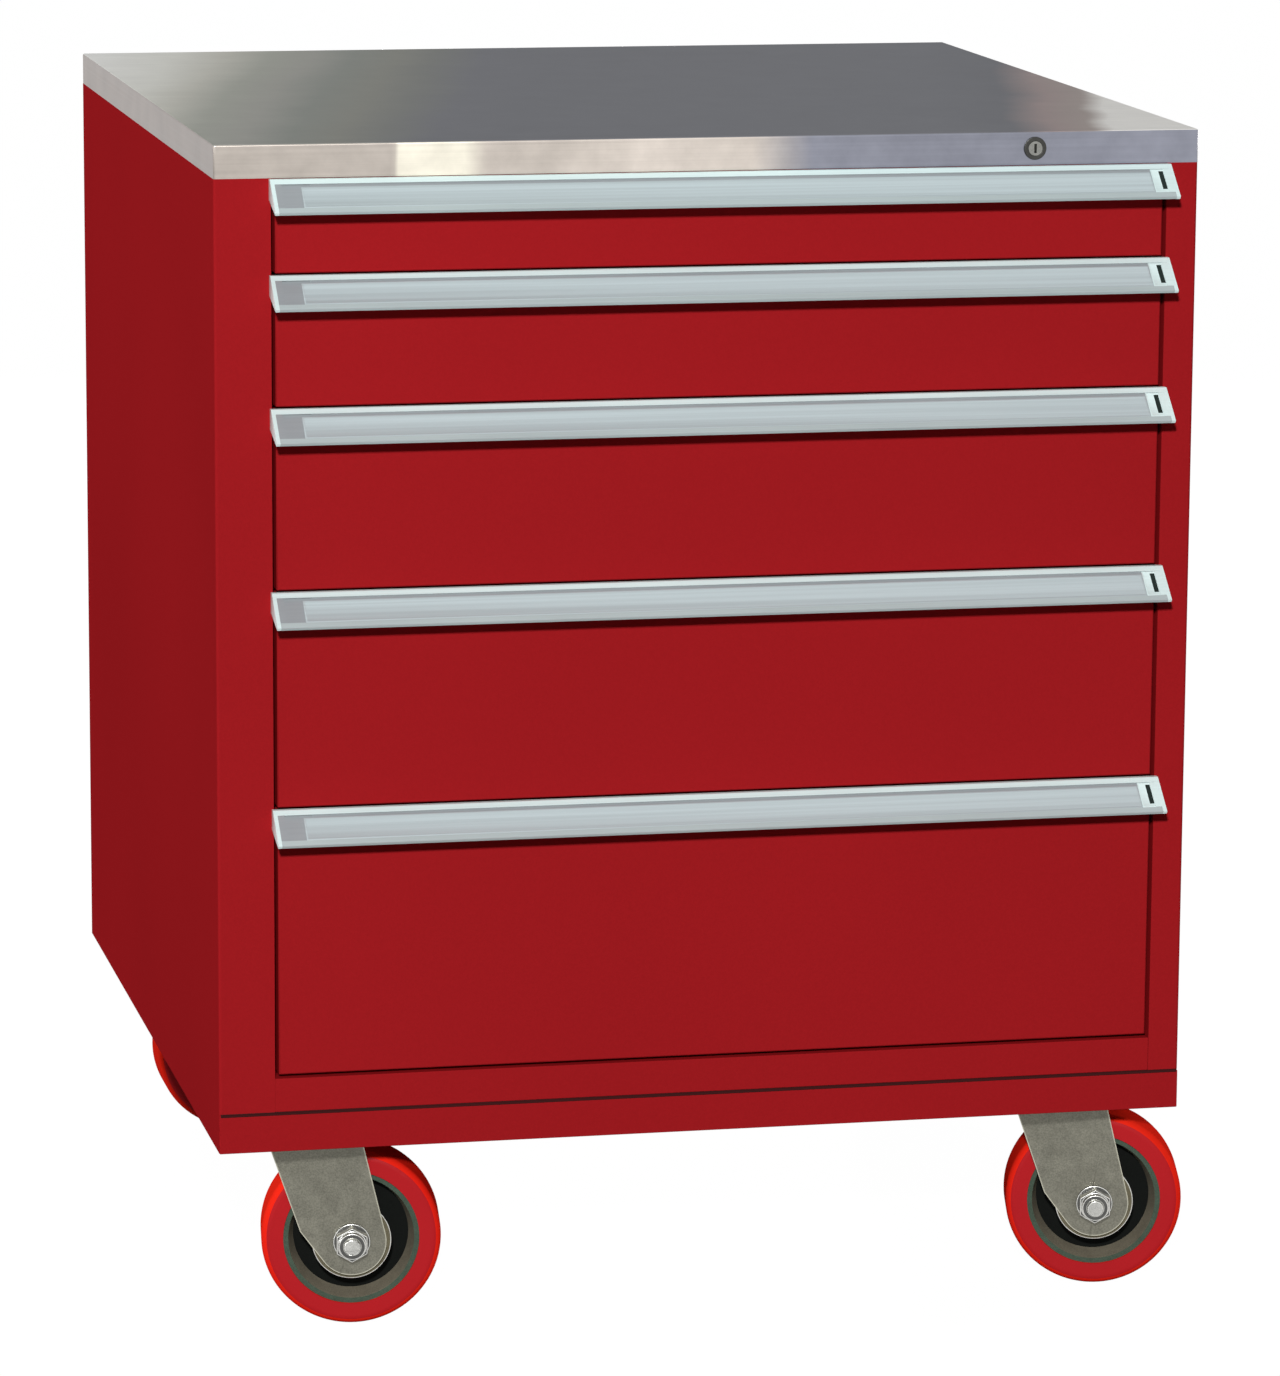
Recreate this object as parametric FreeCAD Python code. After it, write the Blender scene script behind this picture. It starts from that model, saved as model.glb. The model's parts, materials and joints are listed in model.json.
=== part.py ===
import FreeCAD, Part
import math
import os

from FreeCAD import Vector

# Tool cabinet on swivel casters. Millimetres. +X is right, +Y is back and +Z is up. The origin is on the
# floor, below the middle of the whole object at rest.
# Inside this file a place is written in cabinet coordinates: x from the left face, y back from the front
# face, and z up from the underside of the base. row() turns such a place into the frame of the part.

# Housing
CABINET_WIDTH = 762.0
CABINET_DEPTH = 762.0
PANEL = 1.5             # sheet of the side panels, back panel and bottom rail
CORNER_BEND = 2.5       # outer radius of the two front corners
LEFT_FACE = 43.0        # width of the front face left of the drawers
RIGHT_FACE = 24.5       # width of the front face right of the drawers
FACE_LIP = 18.0         # lip that turns in beside the drawers
POST_DEPTH = 40.0       # depth of the stiffening post behind each face
BOTTOM_RAIL = 27.5      # height of the front face below the drawers
RAIL_FLANGE = 38.0      # depth of the bottom rail
PAN = 1.2               # sheet of the top pan and the bottom pan
BACK_FLANGE = 16.0      # flange of the back panel

# Base under the housing
BASE_HEIGHT = 30.0
BASE_SHEET = 2.5
BASE_FLANGE = 30.0      # flange at the top of the base, which carries the bottom pan
GUSSET = 5.0            # plate in each corner, which carries a caster
GUSSET_SIDE = 145.0
GUSSET_Z = 13.0         # underside of that plate

# Worktop
WORKTOP = 25.5
SKIN = 1.2              # stainless sheet folded over the core
SKIN_BEND = 1.5
SKIN_RETURN = 15.0      # return of the sheet under the core

# Drawers, from the top one down
FRONT_HEIGHTS = [69.0, 97.5, 136.5, 164.0, 205.5]
SLIDE_HEIGHTS = [28.0, 28.0, 45.0, 45.0, 45.0]
GAP = 3.0               # gap round each front
TOP_GAP = 2.5           # gap between the first front and the worktop
FRONT_SHEET = 1.2
FRONT_DEPTH = 20.0
FRONT_BEND = 1.5
BOX_SHEET = 1.2
BOX_LENGTH = 630.0
BOX_TOP_DROP = 22.0     # top of the walls below the top of the front
BOX_FLOOR_RISE = 5.0    # floor above the bottom of the front
BOX_HEM = 5.0           # hem turned in at the top of the walls
DRAWER_TRAVEL = 600.0

# Telescopic slides: rail on the cabinet, intermediate member, rail on the drawer
SLIDE_WIDTH = 12.7
SLIDE_LENGTH = 620.0
SLIDE_STEEL = 1.2
SLIDE_CLEARANCE = 0.4
SLIDE_TIP = 0.6         # room between the tips of a slide and the drawer wall
SLIDE_SETBACK = 28.0    # front end of the slides behind the front face
SLIDE_RISE = 0.5        # slides above the drawer floor
UPRIGHT_WIDTH = 40.0
UPRIGHT_STEEL = 2.0
FRONT_UPRIGHT_Y = 62.0
REAR_UPRIGHT_INSET = 48.0  # rear uprights from the rear end of the slides

# Drawer pulls
PULL_REACH = 32.0       # how far the lip stands out of the front
PULL_DROP = 22.0        # how far the lip lies below the top of the pull
PULL_RISE = 2.0         # top of the pull above the top of the front
PULL_OVERHANG = 1.5     # how far the pull passes the opening at each end
PULL_TOP = 5.0          # flat strip at the top
PULL_WALL = 2.6
PULL_BACK = 16.0        # height of the back flange
PULL_BACK_WALL = 2.0
PULL_RIM = 4.0          # rim above and below the label channel
LABEL_DEPTH = 1.5       # depth of the label channel
LABEL_LIP = 1.0         # how far each rim reaches over the label
LABEL_LIP_WALL = 0.6
LABEL_STRIP = 0.6
LABEL_PLAY = 0.15
LABEL_START = 22.0      # bare channel left of the label
LABEL_END = 8.0         # bare channel right of the label
PULL_CAP = 3.0
CAP_TONGUE = 5.0

# Lock in the front edge of the worktop
LOCK_INSET = 130.0      # lock axis from the right side
LOCK_BEZEL = 17.5
LOCK_BEZEL_PROUD = 1.5
LOCK_BARREL = 15.0
LOCK_LENGTH = 38.0
LOCK_NUT = 19.4
LOCK_NUT_LENGTH = 4.0
LOCK_PLUG = 11.0
LOCK_FIT = 0.05         # radial running clearance of the plug
LOCK_HOLE_PLAY = 0.1
LOCK_POCKET = 20.0      # bore in the worktop core
KEY_SLOT = (2.0, 7.0)
KEY_SLOT_DEPTH = 6.0
LOCK_TAIL = 6.0         # square tail of the plug
CAM_Y = 44.3            # front face of the cam
CAM_STEEL = 3.0
CAM_RADIUS = 22.0       # from the lock axis to the cam pin
CAM_EYE = 9.0
CAM_TIP = 5.0
CAM_PIN = 5.0
CAM_SWING = 90.0        # degrees between open and locked
CAM_PLAY = 1.1          # room each side of the pin, as the pin moves on an arc and the bar in a line
CAM_SCREW_HEAD = 9.0
CAM_SCREW = 3.8
CAM_SCREW_HOLE = 4.0
CAM_WINDOW = 3.0        # room round the cam in the core and the top pan

# Transfer bar and lock bar
BAR_STEEL = 2.0
BAR_Y = 48.3
BAR_BOTTOM = 18.8       # below the top pan
BAR_TOP_PLAY = 0.5
BAR_LEFT = 66.0         # left end of the bar from the lock axis
BAR_PIN_INSET = 46.0    # pin of the lock bar from the right side
BAR_PIN_MARGIN = 8.0
BAR_PLAY = 0.5
GUIDE_STEEL = 1.5
GUIDE_WIDTH = 10.0
GUIDE_PLAY = 0.3
GUIDE_OFFSETS = (-54.0, 46.0)
LOCKBAR_STEEL = 3.0
LOCKBAR_WIDTH = 16.0
LOCKBAR_INSET = 3.5      # lock bar from the side panel
LOCKBAR_PLAY = 0.7       # room between transfer bar and lock bar
LOCKBAR_LIFT = 7.0
LOCKBAR_ARM = 11.0
LOCKBAR_FOOT = 64.0
LOCKBAR_GUIDES = (150.0, 390.0, 600.0)
TAB_HEIGHT = 5.0
TAB_GAP = 1.0
TAB_REACH = 8.5         # how far the tabs and catches reach into the slide space
CATCH_STEEL = 3.0
CATCH_PLAY = 1.0
CATCH_REACH = 10.5

# Casters
CASTER_HEIGHT = 156.0
SWIVEL_INSET = 80.0
TRAIL = 34.0
CASTER_TURN = {"fl": -8.0, "fr": -13.0, "rl": 0.0, "rr": 0.0}  # turn of each caster at rest, in degrees
WHEEL_RADIUS = 70.0
TREAD_WIDTH = 48.0
TREAD_SHOULDER = 7.0
TYRE_BORE = 53.0
HUB_WIDTH = 44.0
HUB_RIM = 8.0
HUB_WEB = 9.0
HUB_BOSS = 22.0
HUB_LENGTH = 56.0
HUB_DISH = 4.0          # slope of the dish on each side of the web
BEARING_RADIUS = 16.0
BEARING_WIDTH = 14.0
BUSHING_RADIUS = 9.5
AXLE_FIT = 0.05
AXLE_RADIUS = 6.35
FORK_GAP = 30.0         # half the distance between the fork legs
FORK_STEEL = 5.0
CROWN_STEEL = 6.0
CROWN_Z = -2.0          # top of the fork crown
FORK_BEND = 5.0
FORK_BACK = -32.0       # fork at the crown, from the swivel axis
FORK_FRONT = 41.5
FORK_KNEE = (-40.0, 8.5)  # corner of the leg, from the axle
FORK_END = 27.0         # round end of the leg
GUARD_RADIUS = 31.0
GUARD_STEEL = 1.5
NUT_ACROSS = 24.0
NUT_LENGTH = 10.0
NUT_COLLAR = 4.0
NUT_COLLAR_RADIUS = 10.5
BOLT_HEAD = 8.0
BOLT_STICKOUT = 2.5
WASHER_RADIUS = 14.5
WASHER_STEEL = 1.5
RACE_RADIUS = 33.0
RACE_INNER = 24.0
RACE_GAP = 0.5
SWIVEL_CUP = 35.0
SWIVEL_CUP_HEIGHT = 4.5
KINGPIN = 7.0
KINGPIN_FIT = 0.05
KINGPIN_HEAD = 12.0
KINGPIN_HEAD_HEIGHT = 6.0
KINGPIN_GAP = 0.3
TOP_PLATE = (114.0, 102.0, 6.0)
PLATE_BOLTS = (92.1, 66.7)
PLATE_HOLE = 5.15
PLATE_BOLT = 4.75
PLATE_CORNER = 10.0
BOLT_HEX = 15.0
BOLT_HEX_HEIGHT = 6.0

# Places that follow from the sizes above
TURN_RIGHT = math.radians(-CASTER_TURN["fr"])
TYRE_REACH = ((TRAIL + WHEEL_RADIUS - TREAD_SHOULDER) * math.cos(TURN_RIGHT) + TREAD_SHOULDER
              + (TREAD_WIDTH / 2 - TREAD_SHOULDER) * math.sin(TURN_RIGHT))
WHEEL_OVERHANG = max(TYRE_REACH - SWIVEL_INSET, 0.0)
ROW_LEFT = -(CABINET_WIDTH + WHEEL_OVERHANG) / 2
ROW_FRONT = (PULL_REACH - CABINET_DEPTH) / 2
ROW_BASE = CASTER_HEIGHT

OPENING = TOP_GAP + sum(FRONT_HEIGHTS) + GAP * len(FRONT_HEIGHTS)
OPENING_Z = BASE_HEIGHT + BOTTOM_RAIL
DECK_Z = OPENING_Z + OPENING            # underside of the worktop
TOP_PAN_Z = DECK_Z - PAN
TOP_Z = DECK_Z + WORKTOP
FLOOR_Z = BASE_HEIGHT + PAN             # top of the bottom pan
INNER_LEFT = PANEL
INNER_RIGHT = CABINET_WIDTH - PANEL
SLIDE_LEFT = LEFT_FACE                  # inner faces of the uprights
SLIDE_RIGHT = CABINET_WIDTH - RIGHT_FACE
BOX_LEFT = SLIDE_LEFT + SLIDE_WIDTH
BOX_RIGHT = SLIDE_RIGHT - SLIDE_WIDTH
BACK = CABINET_DEPTH

LOCK_X = CABINET_WIDTH - LOCK_INSET
LOCK_Z = DECK_Z + WORKTOP / 2
REAR_UPRIGHT_Y = SLIDE_SETBACK + SLIDE_LENGTH - REAR_UPRIGHT_INSET - UPRIGHT_WIDTH
CAM_BACK = CAM_Y + CAM_STEEL
CAM_OPEN = math.radians(CAM_SWING / 2)
BAR_TRAVEL = 2 * CAM_RADIUS * math.sin(CAM_OPEN)
BAR_Z = (TOP_PAN_Z - BAR_BOTTOM, TOP_PAN_Z - BAR_TOP_PLAY)
LOCKBAR_Y = BAR_Y + BAR_STEEL + LOCKBAR_PLAY
LOCKBAR_X = INNER_RIGHT - LOCKBAR_INSET - LOCKBAR_WIDTH
BAR_PIN_X = CABINET_WIDTH - BAR_PIN_INSET
AXLE_Z = WHEEL_RADIUS - CASTER_HEIGHT   # below the base


def row(x, y, z):
    """A place in cabinet coordinates, as a vector in the frame of the part."""
    return Vector(ROW_LEFT + x, ROW_FRONT + y, ROW_BASE + z)


def block(x, y, z):
    """A block between pairs of cabinet coordinates."""
    return Part.makeBox(x[1] - x[0], y[1] - y[0], z[1] - z[0], row(x[0], y[0], z[0]))


def rod(radius, start, direction, length):
    """A round bar from a place in cabinet coordinates."""
    return Part.makeCylinder(radius, length, row(*start), Vector(*direction))


def extrusion(points, direction):
    """A straight bar whose end face runs through points in cabinet coordinates."""
    corners = [row(*point) for point in points]
    face = Part.Face(Part.makePolygon(corners + corners[:1]))
    return face.extrude(Vector(*direction))


def rounded(solid, radius, chosen):
    """The solid with the edges rounded for which chosen(edge) is true."""
    edges = [edge for edge in solid.Edges if chosen(edge)]
    return solid.makeFillet(radius, edges)


def upright_edge_at(x, y):
    """A test for the vertical edge at a place in cabinet coordinates."""
    corner = row(x, y, 0)

    def chosen(edge):
        low, high = edge.Vertexes[0].Point, edge.Vertexes[-1].Point
        beside = all(abs(end.x - corner.x) < 0.01 and abs(end.y - corner.y) < 0.01 for end in (low, high))
        return beside and abs(low.z - high.z) > 1.0
    return chosen


def hexagon_bar(across, start, direction, length):
    """A hexagonal bar, across flats, along Y or Z."""
    radius = across / math.sqrt(3)
    corners = []
    for step in range(6):
        angle = math.radians(60 * step + 30)
        first, second = radius * math.cos(angle), radius * math.sin(angle)
        place = (start[0] + first, start[1], start[2] + second)
        if direction[2]:
            place = (start[0] + first, start[1] + second, start[2])
        corners.append(place)
    return extrusion(corners, [value * length for value in direction])


def save(node, solids):
    """Write one sub-part, as a solid or as a group of solids."""
    pieces = [piece for solid in solids for piece in solid.Solids]
    for piece in pieces:
        if not piece.isValid() or not piece.isClosed():
            raise ValueError(node + " has a solid that is not closed")
    shape = pieces[0] if len(pieces) == 1 else Part.makeCompound(pieces)
    shape.exportStep("parts/" + node + ".step")


def side_panel(left):
    """A side sheet, folded round the front corner to make the face beside the drawers."""
    width = LEFT_FACE if left else RIGHT_FACE
    outer, edge = (0.0, width) if left else (CABINET_WIDTH, CABINET_WIDTH - width)
    side = sorted((outer, outer + PANEL if left else outer - PANEL))
    face = sorted((outer, edge))
    lip = sorted((edge, edge - PANEL if left else edge + PANEL))
    corner = block(face, (0.0, CORNER_BEND + PANEL), (FLOOR_Z, DECK_Z))
    corner = rounded(corner, CORNER_BEND, upright_edge_at(outer, 0.0))
    hollow = sorted((side[1] if left else side[0], edge))
    corner = corner.cut(block(hollow, (PANEL, CORNER_BEND + PANEL), (FLOOR_Z, DECK_Z)))
    sheet = block(side, (CORNER_BEND + PANEL, BACK), (FLOOR_Z, DECK_Z))
    skirt = block(side, (BASE_SHEET, BACK), (0.0, FLOOR_Z))
    turned = block(lip, (0.0, FACE_LIP), (FLOOR_Z, DECK_Z))
    return corner.multiFuse([sheet, skirt, turned]).removeSplitter()


def lock_bar_guides():
    """Loops on the right side panel that hold the lock bar upright."""
    low_x, high_x = LOCKBAR_X - GUIDE_PLAY, LOCKBAR_X + LOCKBAR_WIDTH + GUIDE_PLAY
    low_y, high_y = LOCKBAR_Y - GUIDE_PLAY, LOCKBAR_Y + LOCKBAR_STEEL + GUIDE_PLAY
    loops = []
    for height in LOCKBAR_GUIDES:
        span = (height, height + GUIDE_WIDTH)
        around = block((low_x - GUIDE_STEEL, INNER_RIGHT), (low_y - GUIDE_STEEL, high_y + GUIDE_STEEL), span)
        loops.append(around.cut(block((low_x, high_x), (low_y, high_y), span)))
    return loops


def front_post(left):
    """A channel that closes the fold behind one face."""
    width = LEFT_FACE if left else RIGHT_FACE
    outer = 0.0 if left else CABINET_WIDTH
    sign = 1.0 if left else -1.0
    span = sorted((outer + sign * PANEL, outer + sign * (width - PANEL)))
    inner = (span[0] + PANEL, span[1] - PANEL)
    solid = block(span, (PANEL, POST_DEPTH), (FLOOR_Z, TOP_PAN_Z))
    return solid.cut(block(inner, (PANEL, POST_DEPTH - PANEL), (FLOOR_Z, TOP_PAN_Z)))


def back_panel():
    """The back sheet with its two folded flanges."""
    sheet = block((INNER_LEFT, INNER_RIGHT), (BACK - PANEL, BACK), (0.0, TOP_PAN_Z))
    flanges = []
    for low, high in ((INNER_LEFT, INNER_LEFT + PANEL), (INNER_RIGHT - PANEL, INNER_RIGHT)):
        flanges.append(block((low, high), (BACK - PANEL - BACK_FLANGE, BACK - PANEL), (FLOOR_Z, TOP_PAN_Z)))
    return sheet.multiFuse(flanges).removeSplitter()


def bottom_rail():
    """The folded rail below the drawers."""
    span = (LEFT_FACE, CABINET_WIDTH - RIGHT_FACE)
    rail = block(span, (0.0, RAIL_FLANGE), (FLOOR_Z, OPENING_Z))
    hollow = block(span, (PANEL, RAIL_FLANGE - PANEL), (FLOOR_Z, OPENING_Z - PANEL))
    return rail.cut(hollow)


def base_frame():
    """The folded base: a skirt, a flange at its top and a gusset plate in each corner."""
    front = block((0.0, CABINET_WIDTH), (0.0, BASE_SHEET), (0.0, BASE_HEIGHT))
    around = block((INNER_LEFT, INNER_RIGHT), (BASE_SHEET, BACK - PANEL), (0.0, BASE_HEIGHT))
    inside = ((INNER_LEFT + BASE_SHEET, INNER_RIGHT - BASE_SHEET), (BASE_SHEET, BACK - PANEL - BASE_SHEET))
    skirt = around.cut(block(inside[0], inside[1], (0.0, BASE_HEIGHT)))
    deck = block(inside[0], inside[1], (BASE_HEIGHT - BASE_SHEET, BASE_HEIGHT))
    hole_x = (inside[0][0] + BASE_FLANGE, inside[0][1] - BASE_FLANGE)
    hole_y = (inside[1][0] + BASE_FLANGE, inside[1][1] - BASE_FLANGE)
    deck = deck.cut(block(hole_x, hole_y, (0.0, BASE_HEIGHT)))
    frame = front.multiFuse([skirt, deck])
    plates = []
    for x in (inside[0], (inside[0][1], inside[0][0])):
        for y in (inside[1], (inside[1][1], inside[1][0])):
            span_x = sorted((x[0], x[0] + math.copysign(GUSSET_SIDE, x[1] - x[0])))
            span_y = sorted((y[0], y[0] + math.copysign(GUSSET_SIDE, y[1] - y[0])))
            plates.append(block(span_x, span_y, (GUSSET_Z, GUSSET_Z + GUSSET)))
    frame = frame.multiFuse(plates)
    holes = [rod(PLATE_HOLE, (x, y, 0.0), (0, 0, 1), BASE_HEIGHT - BASE_SHEET)
             for centre in swivel_centres().values() for x, y in bolt_places(centre)]
    return frame.cut(Part.makeCompound(holes)).removeSplitter()


def bottom_pan():
    """The floor of the housing."""
    return block((INNER_LEFT, INNER_RIGHT), (BASE_SHEET, BACK - PANEL), (BASE_HEIGHT, FLOOR_Z))


def top_pan():
    """The sheet below the worktop, with the loops that guide the transfer bar."""
    pan = block((INNER_LEFT, INNER_RIGHT), (PANEL, BACK), (TOP_PAN_Z, DECK_Z))
    for left in (True, False):
        width = LEFT_FACE if left else RIGHT_FACE
        outer = 0.0 if left else CABINET_WIDTH
        edge = width if left else CABINET_WIDTH - width
        span = sorted((outer, edge))
        pan = pan.cut(block(span, (0.0, FACE_LIP), (TOP_PAN_Z, DECK_Z)))
    loops = []
    low_y, high_y = BAR_Y - GUIDE_PLAY, BAR_Y + BAR_STEEL + GUIDE_PLAY
    low_z = BAR_Z[0] - GUIDE_PLAY
    for offset in GUIDE_OFFSETS:
        span = (LOCK_X + offset, LOCK_X + offset + GUIDE_WIDTH)
        loop = block(span, (low_y - GUIDE_STEEL, high_y + GUIDE_STEEL), (low_z - GUIDE_STEEL, TOP_PAN_Z))
        loops.append(loop.cut(block(span, (low_y, high_y), (low_z, TOP_PAN_Z))))
    pan = pan.multiFuse(loops)
    return pan.cut(cam_window(TOP_PAN_Z, DECK_Z)).removeSplitter()


def cam_window(low, high):
    """The room that the swinging cam needs, between two heights."""
    half = CAM_RADIUS * math.sin(CAM_OPEN) + CAM_TIP + CAM_WINDOW
    span_y = (CAM_Y - CAM_WINDOW, CAM_BACK + CAM_STEEL + CAM_WINDOW)
    return block((LOCK_X - half, LOCK_X + half), span_y, (low, high))


def worktop():
    """Stainless sheet folded down round the core and back under it."""
    outer = block((0.0, CABINET_WIDTH), (0.0, BACK), (DECK_Z, TOP_Z))
    top = ROW_BASE + TOP_Z

    def bent(edge):
        ends = [vertex.Point for vertex in edge.Vertexes]
        return any(abs(end.z - top) < 0.01 for end in ends)
    outer = rounded(outer, SKIN_BEND, bent)
    inner = block((SKIN, CABINET_WIDTH - SKIN), (SKIN, BACK - SKIN), (DECK_Z + SKIN, TOP_Z - SKIN))
    mouth = block((SKIN_RETURN, CABINET_WIDTH - SKIN_RETURN), (SKIN_RETURN, BACK - SKIN_RETURN),
                  (DECK_Z, DECK_Z + SKIN))
    keyhole = rod(LOCK_BARREL / 2 + LOCK_HOLE_PLAY, (LOCK_X, 0.0, LOCK_Z), (0, 1, 0), SKIN)
    return outer.cut(inner).cut(mouth).cut(keyhole)


def worktop_core():
    """The board inside the worktop, bored and slotted for the lock."""
    board = block((SKIN, CABINET_WIDTH - SKIN), (SKIN, BACK - SKIN), (DECK_Z + SKIN, TOP_Z - SKIN))
    pocket = rod(LOCK_POCKET / 2, (LOCK_X, 0.0, LOCK_Z), (0, 1, 0), CAM_BACK + CAM_STEEL + CAM_WINDOW)
    return board.cut(pocket).cut(cam_window(DECK_Z, LOCK_Z + LOCK_POCKET / 2))


def slide_uprights():
    """Four hat-shaped posts that carry the slides."""
    posts = []
    spans = ((INNER_LEFT, SLIDE_LEFT, 1.0), (INNER_RIGHT, SLIDE_RIGHT, -1.0))
    for wall, face, sign in spans:
        for start in (FRONT_UPRIGHT_Y, REAR_UPRIGHT_Y):
            span_y = (start, start + UPRIGHT_WIDTH)
            post = block(sorted((wall, face)), span_y, (FLOOR_Z, TOP_PAN_Z))
            inner_y = (start + UPRIGHT_STEEL, start + UPRIGHT_WIDTH - UPRIGHT_STEEL)
            inner_x = sorted((wall, face - sign * UPRIGHT_STEEL))
            posts.append(post.cut(block(inner_x, inner_y, (FLOOR_Z, TOP_PAN_Z))))
    return posts


def channel(web, tip, z, half_height, steel):
    """A C-shaped slide member from its web to the tips of its flanges."""
    sign = math.copysign(1.0, tip - web)
    span_y = (SLIDE_SETBACK, SLIDE_SETBACK + SLIDE_LENGTH)
    outer = block(sorted((web, tip)), span_y, (z - half_height, z + half_height))
    hollow = sorted((web + sign * steel, tip))
    return outer.cut(block(hollow, span_y, (z - half_height + steel, z + half_height - steel)))


def slide_members(index):
    """The rails, intermediate members and drawer rails of one drawer, left and right."""
    z = slide_z(index)
    half = SLIDE_HEIGHTS[index] / 2
    step = SLIDE_STEEL + SLIDE_CLEARANCE
    rails, middles, runners = [], [], []
    for face, sign in ((SLIDE_LEFT, 1.0), (SLIDE_RIGHT, -1.0)):
        tip = face + sign * (SLIDE_WIDTH - SLIDE_TIP)
        drawer_side = face + sign * SLIDE_WIDTH
        rails.append(channel(face, tip, z, half, SLIDE_STEEL))
        middles.append(channel(face + sign * step, tip, z, half - step, SLIDE_STEEL))
        runners.append(channel(drawer_side, face + sign * 2 * step, z, half - 2 * step, SLIDE_STEEL))
    return rails, middles, runners


def front_z(index):
    """The lowest and highest place of one drawer front."""
    top = DECK_Z - TOP_GAP - sum(FRONT_HEIGHTS[:index]) - GAP * index
    return top - FRONT_HEIGHTS[index], top


def box_z(index):
    """The floor and the rim of one drawer box."""
    low, high = front_z(index)
    return low + BOX_FLOOR_RISE, high - BOX_TOP_DROP


def slide_z(index):
    """The middle height of the slides of one drawer."""
    return box_z(index)[0] + SLIDE_RISE + SLIDE_HEIGHTS[index] / 2


def catch_z(index):
    """The underside of the catch of one drawer."""
    return slide_z(index) + SLIDE_HEIGHTS[index] / 2 + TAB_GAP + TAB_HEIGHT + TAB_GAP


def drawer_front(index):
    """The folded front, open at the back."""
    low, high = front_z(index)
    span = (LEFT_FACE + GAP, CABINET_WIDTH - RIGHT_FACE - GAP)
    outer = block(span, (0.0, FRONT_DEPTH), (low, high))
    face = ROW_FRONT

    def bent(edge):
        return all(abs(vertex.Point.y - face) < 0.01 for vertex in edge.Vertexes)
    outer = rounded(outer, FRONT_BEND, bent)
    inner = (span[0] + FRONT_SHEET, span[1] - FRONT_SHEET)
    return outer.cut(block(inner, (FRONT_SHEET, FRONT_DEPTH), (low + FRONT_SHEET, high - FRONT_SHEET)))


def drawer_box(index):
    """The open box with its hems, and the catch welded to its side that the lock bar stops."""
    low, high = box_z(index)
    span_y = (FRONT_DEPTH, FRONT_DEPTH + BOX_LENGTH)
    box = block((BOX_LEFT, BOX_RIGHT), span_y, (low, high))
    inner_x = (BOX_LEFT + BOX_SHEET, BOX_RIGHT - BOX_SHEET)
    inner_y = (span_y[0] + BOX_SHEET, span_y[1] - BOX_SHEET)
    box = box.cut(block(inner_x, inner_y, (low + BOX_SHEET, high - BOX_SHEET)))
    mouth_x = (inner_x[0] + BOX_HEM, inner_x[1] - BOX_HEM)
    mouth_y = (inner_y[0] + BOX_HEM, inner_y[1] - BOX_HEM)
    box = box.cut(block(mouth_x, mouth_y, (high - BOX_SHEET, high)))
    start_y = LOCKBAR_Y + LOCKBAR_STEEL + CATCH_PLAY
    bottom = catch_z(index)
    catch_y = (start_y, start_y + CATCH_STEEL)
    catch = block((BOX_RIGHT, BOX_RIGHT + CATCH_REACH), catch_y, (bottom, bottom + TAB_HEIGHT))
    return [box.removeSplitter(), catch]


def slant(along, up):
    """A point of the pull's section: along the sloping face from its top edge, and up out of the face."""
    run, fall = PULL_REACH - PULL_TOP, PULL_DROP
    length = math.hypot(run, fall)
    reach = PULL_TOP + (along * run + up * fall) / length
    drop = (along * fall - up * run) / length
    return reach, drop


def pull_section():
    """The section of the pull, as pairs of reach out of the front and drop below the top."""
    length = math.hypot(PULL_REACH - PULL_TOP, PULL_DROP)
    rims = (PULL_RIM, length - PULL_RIM)
    floor = -LABEL_DEPTH
    under = -(LABEL_LIP_WALL)
    back_corner = PULL_WALL * 1.6
    return [(0.0, 0.0), (PULL_TOP, 0.0), slant(rims[0] + LABEL_LIP, 0.0), slant(rims[0] + LABEL_LIP, under),
            slant(rims[0], under), slant(rims[0], floor), slant(rims[1], floor), slant(rims[1], under),
            slant(rims[1] - LABEL_LIP, under), slant(rims[1] - LABEL_LIP, 0.0), slant(length, 0.0),
            slant(length, -PULL_WALL), slant(back_corner, -PULL_WALL), (PULL_BACK_WALL, back_corner),
            (PULL_BACK_WALL, PULL_BACK), (0.0, PULL_BACK)]


def along_pull(section, span, top):
    """A bar of one section along the pull."""
    points = [(span[0], -reach, top - drop) for reach, drop in section]
    return extrusion(points, (span[1] - span[0], 0, 0))


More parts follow.
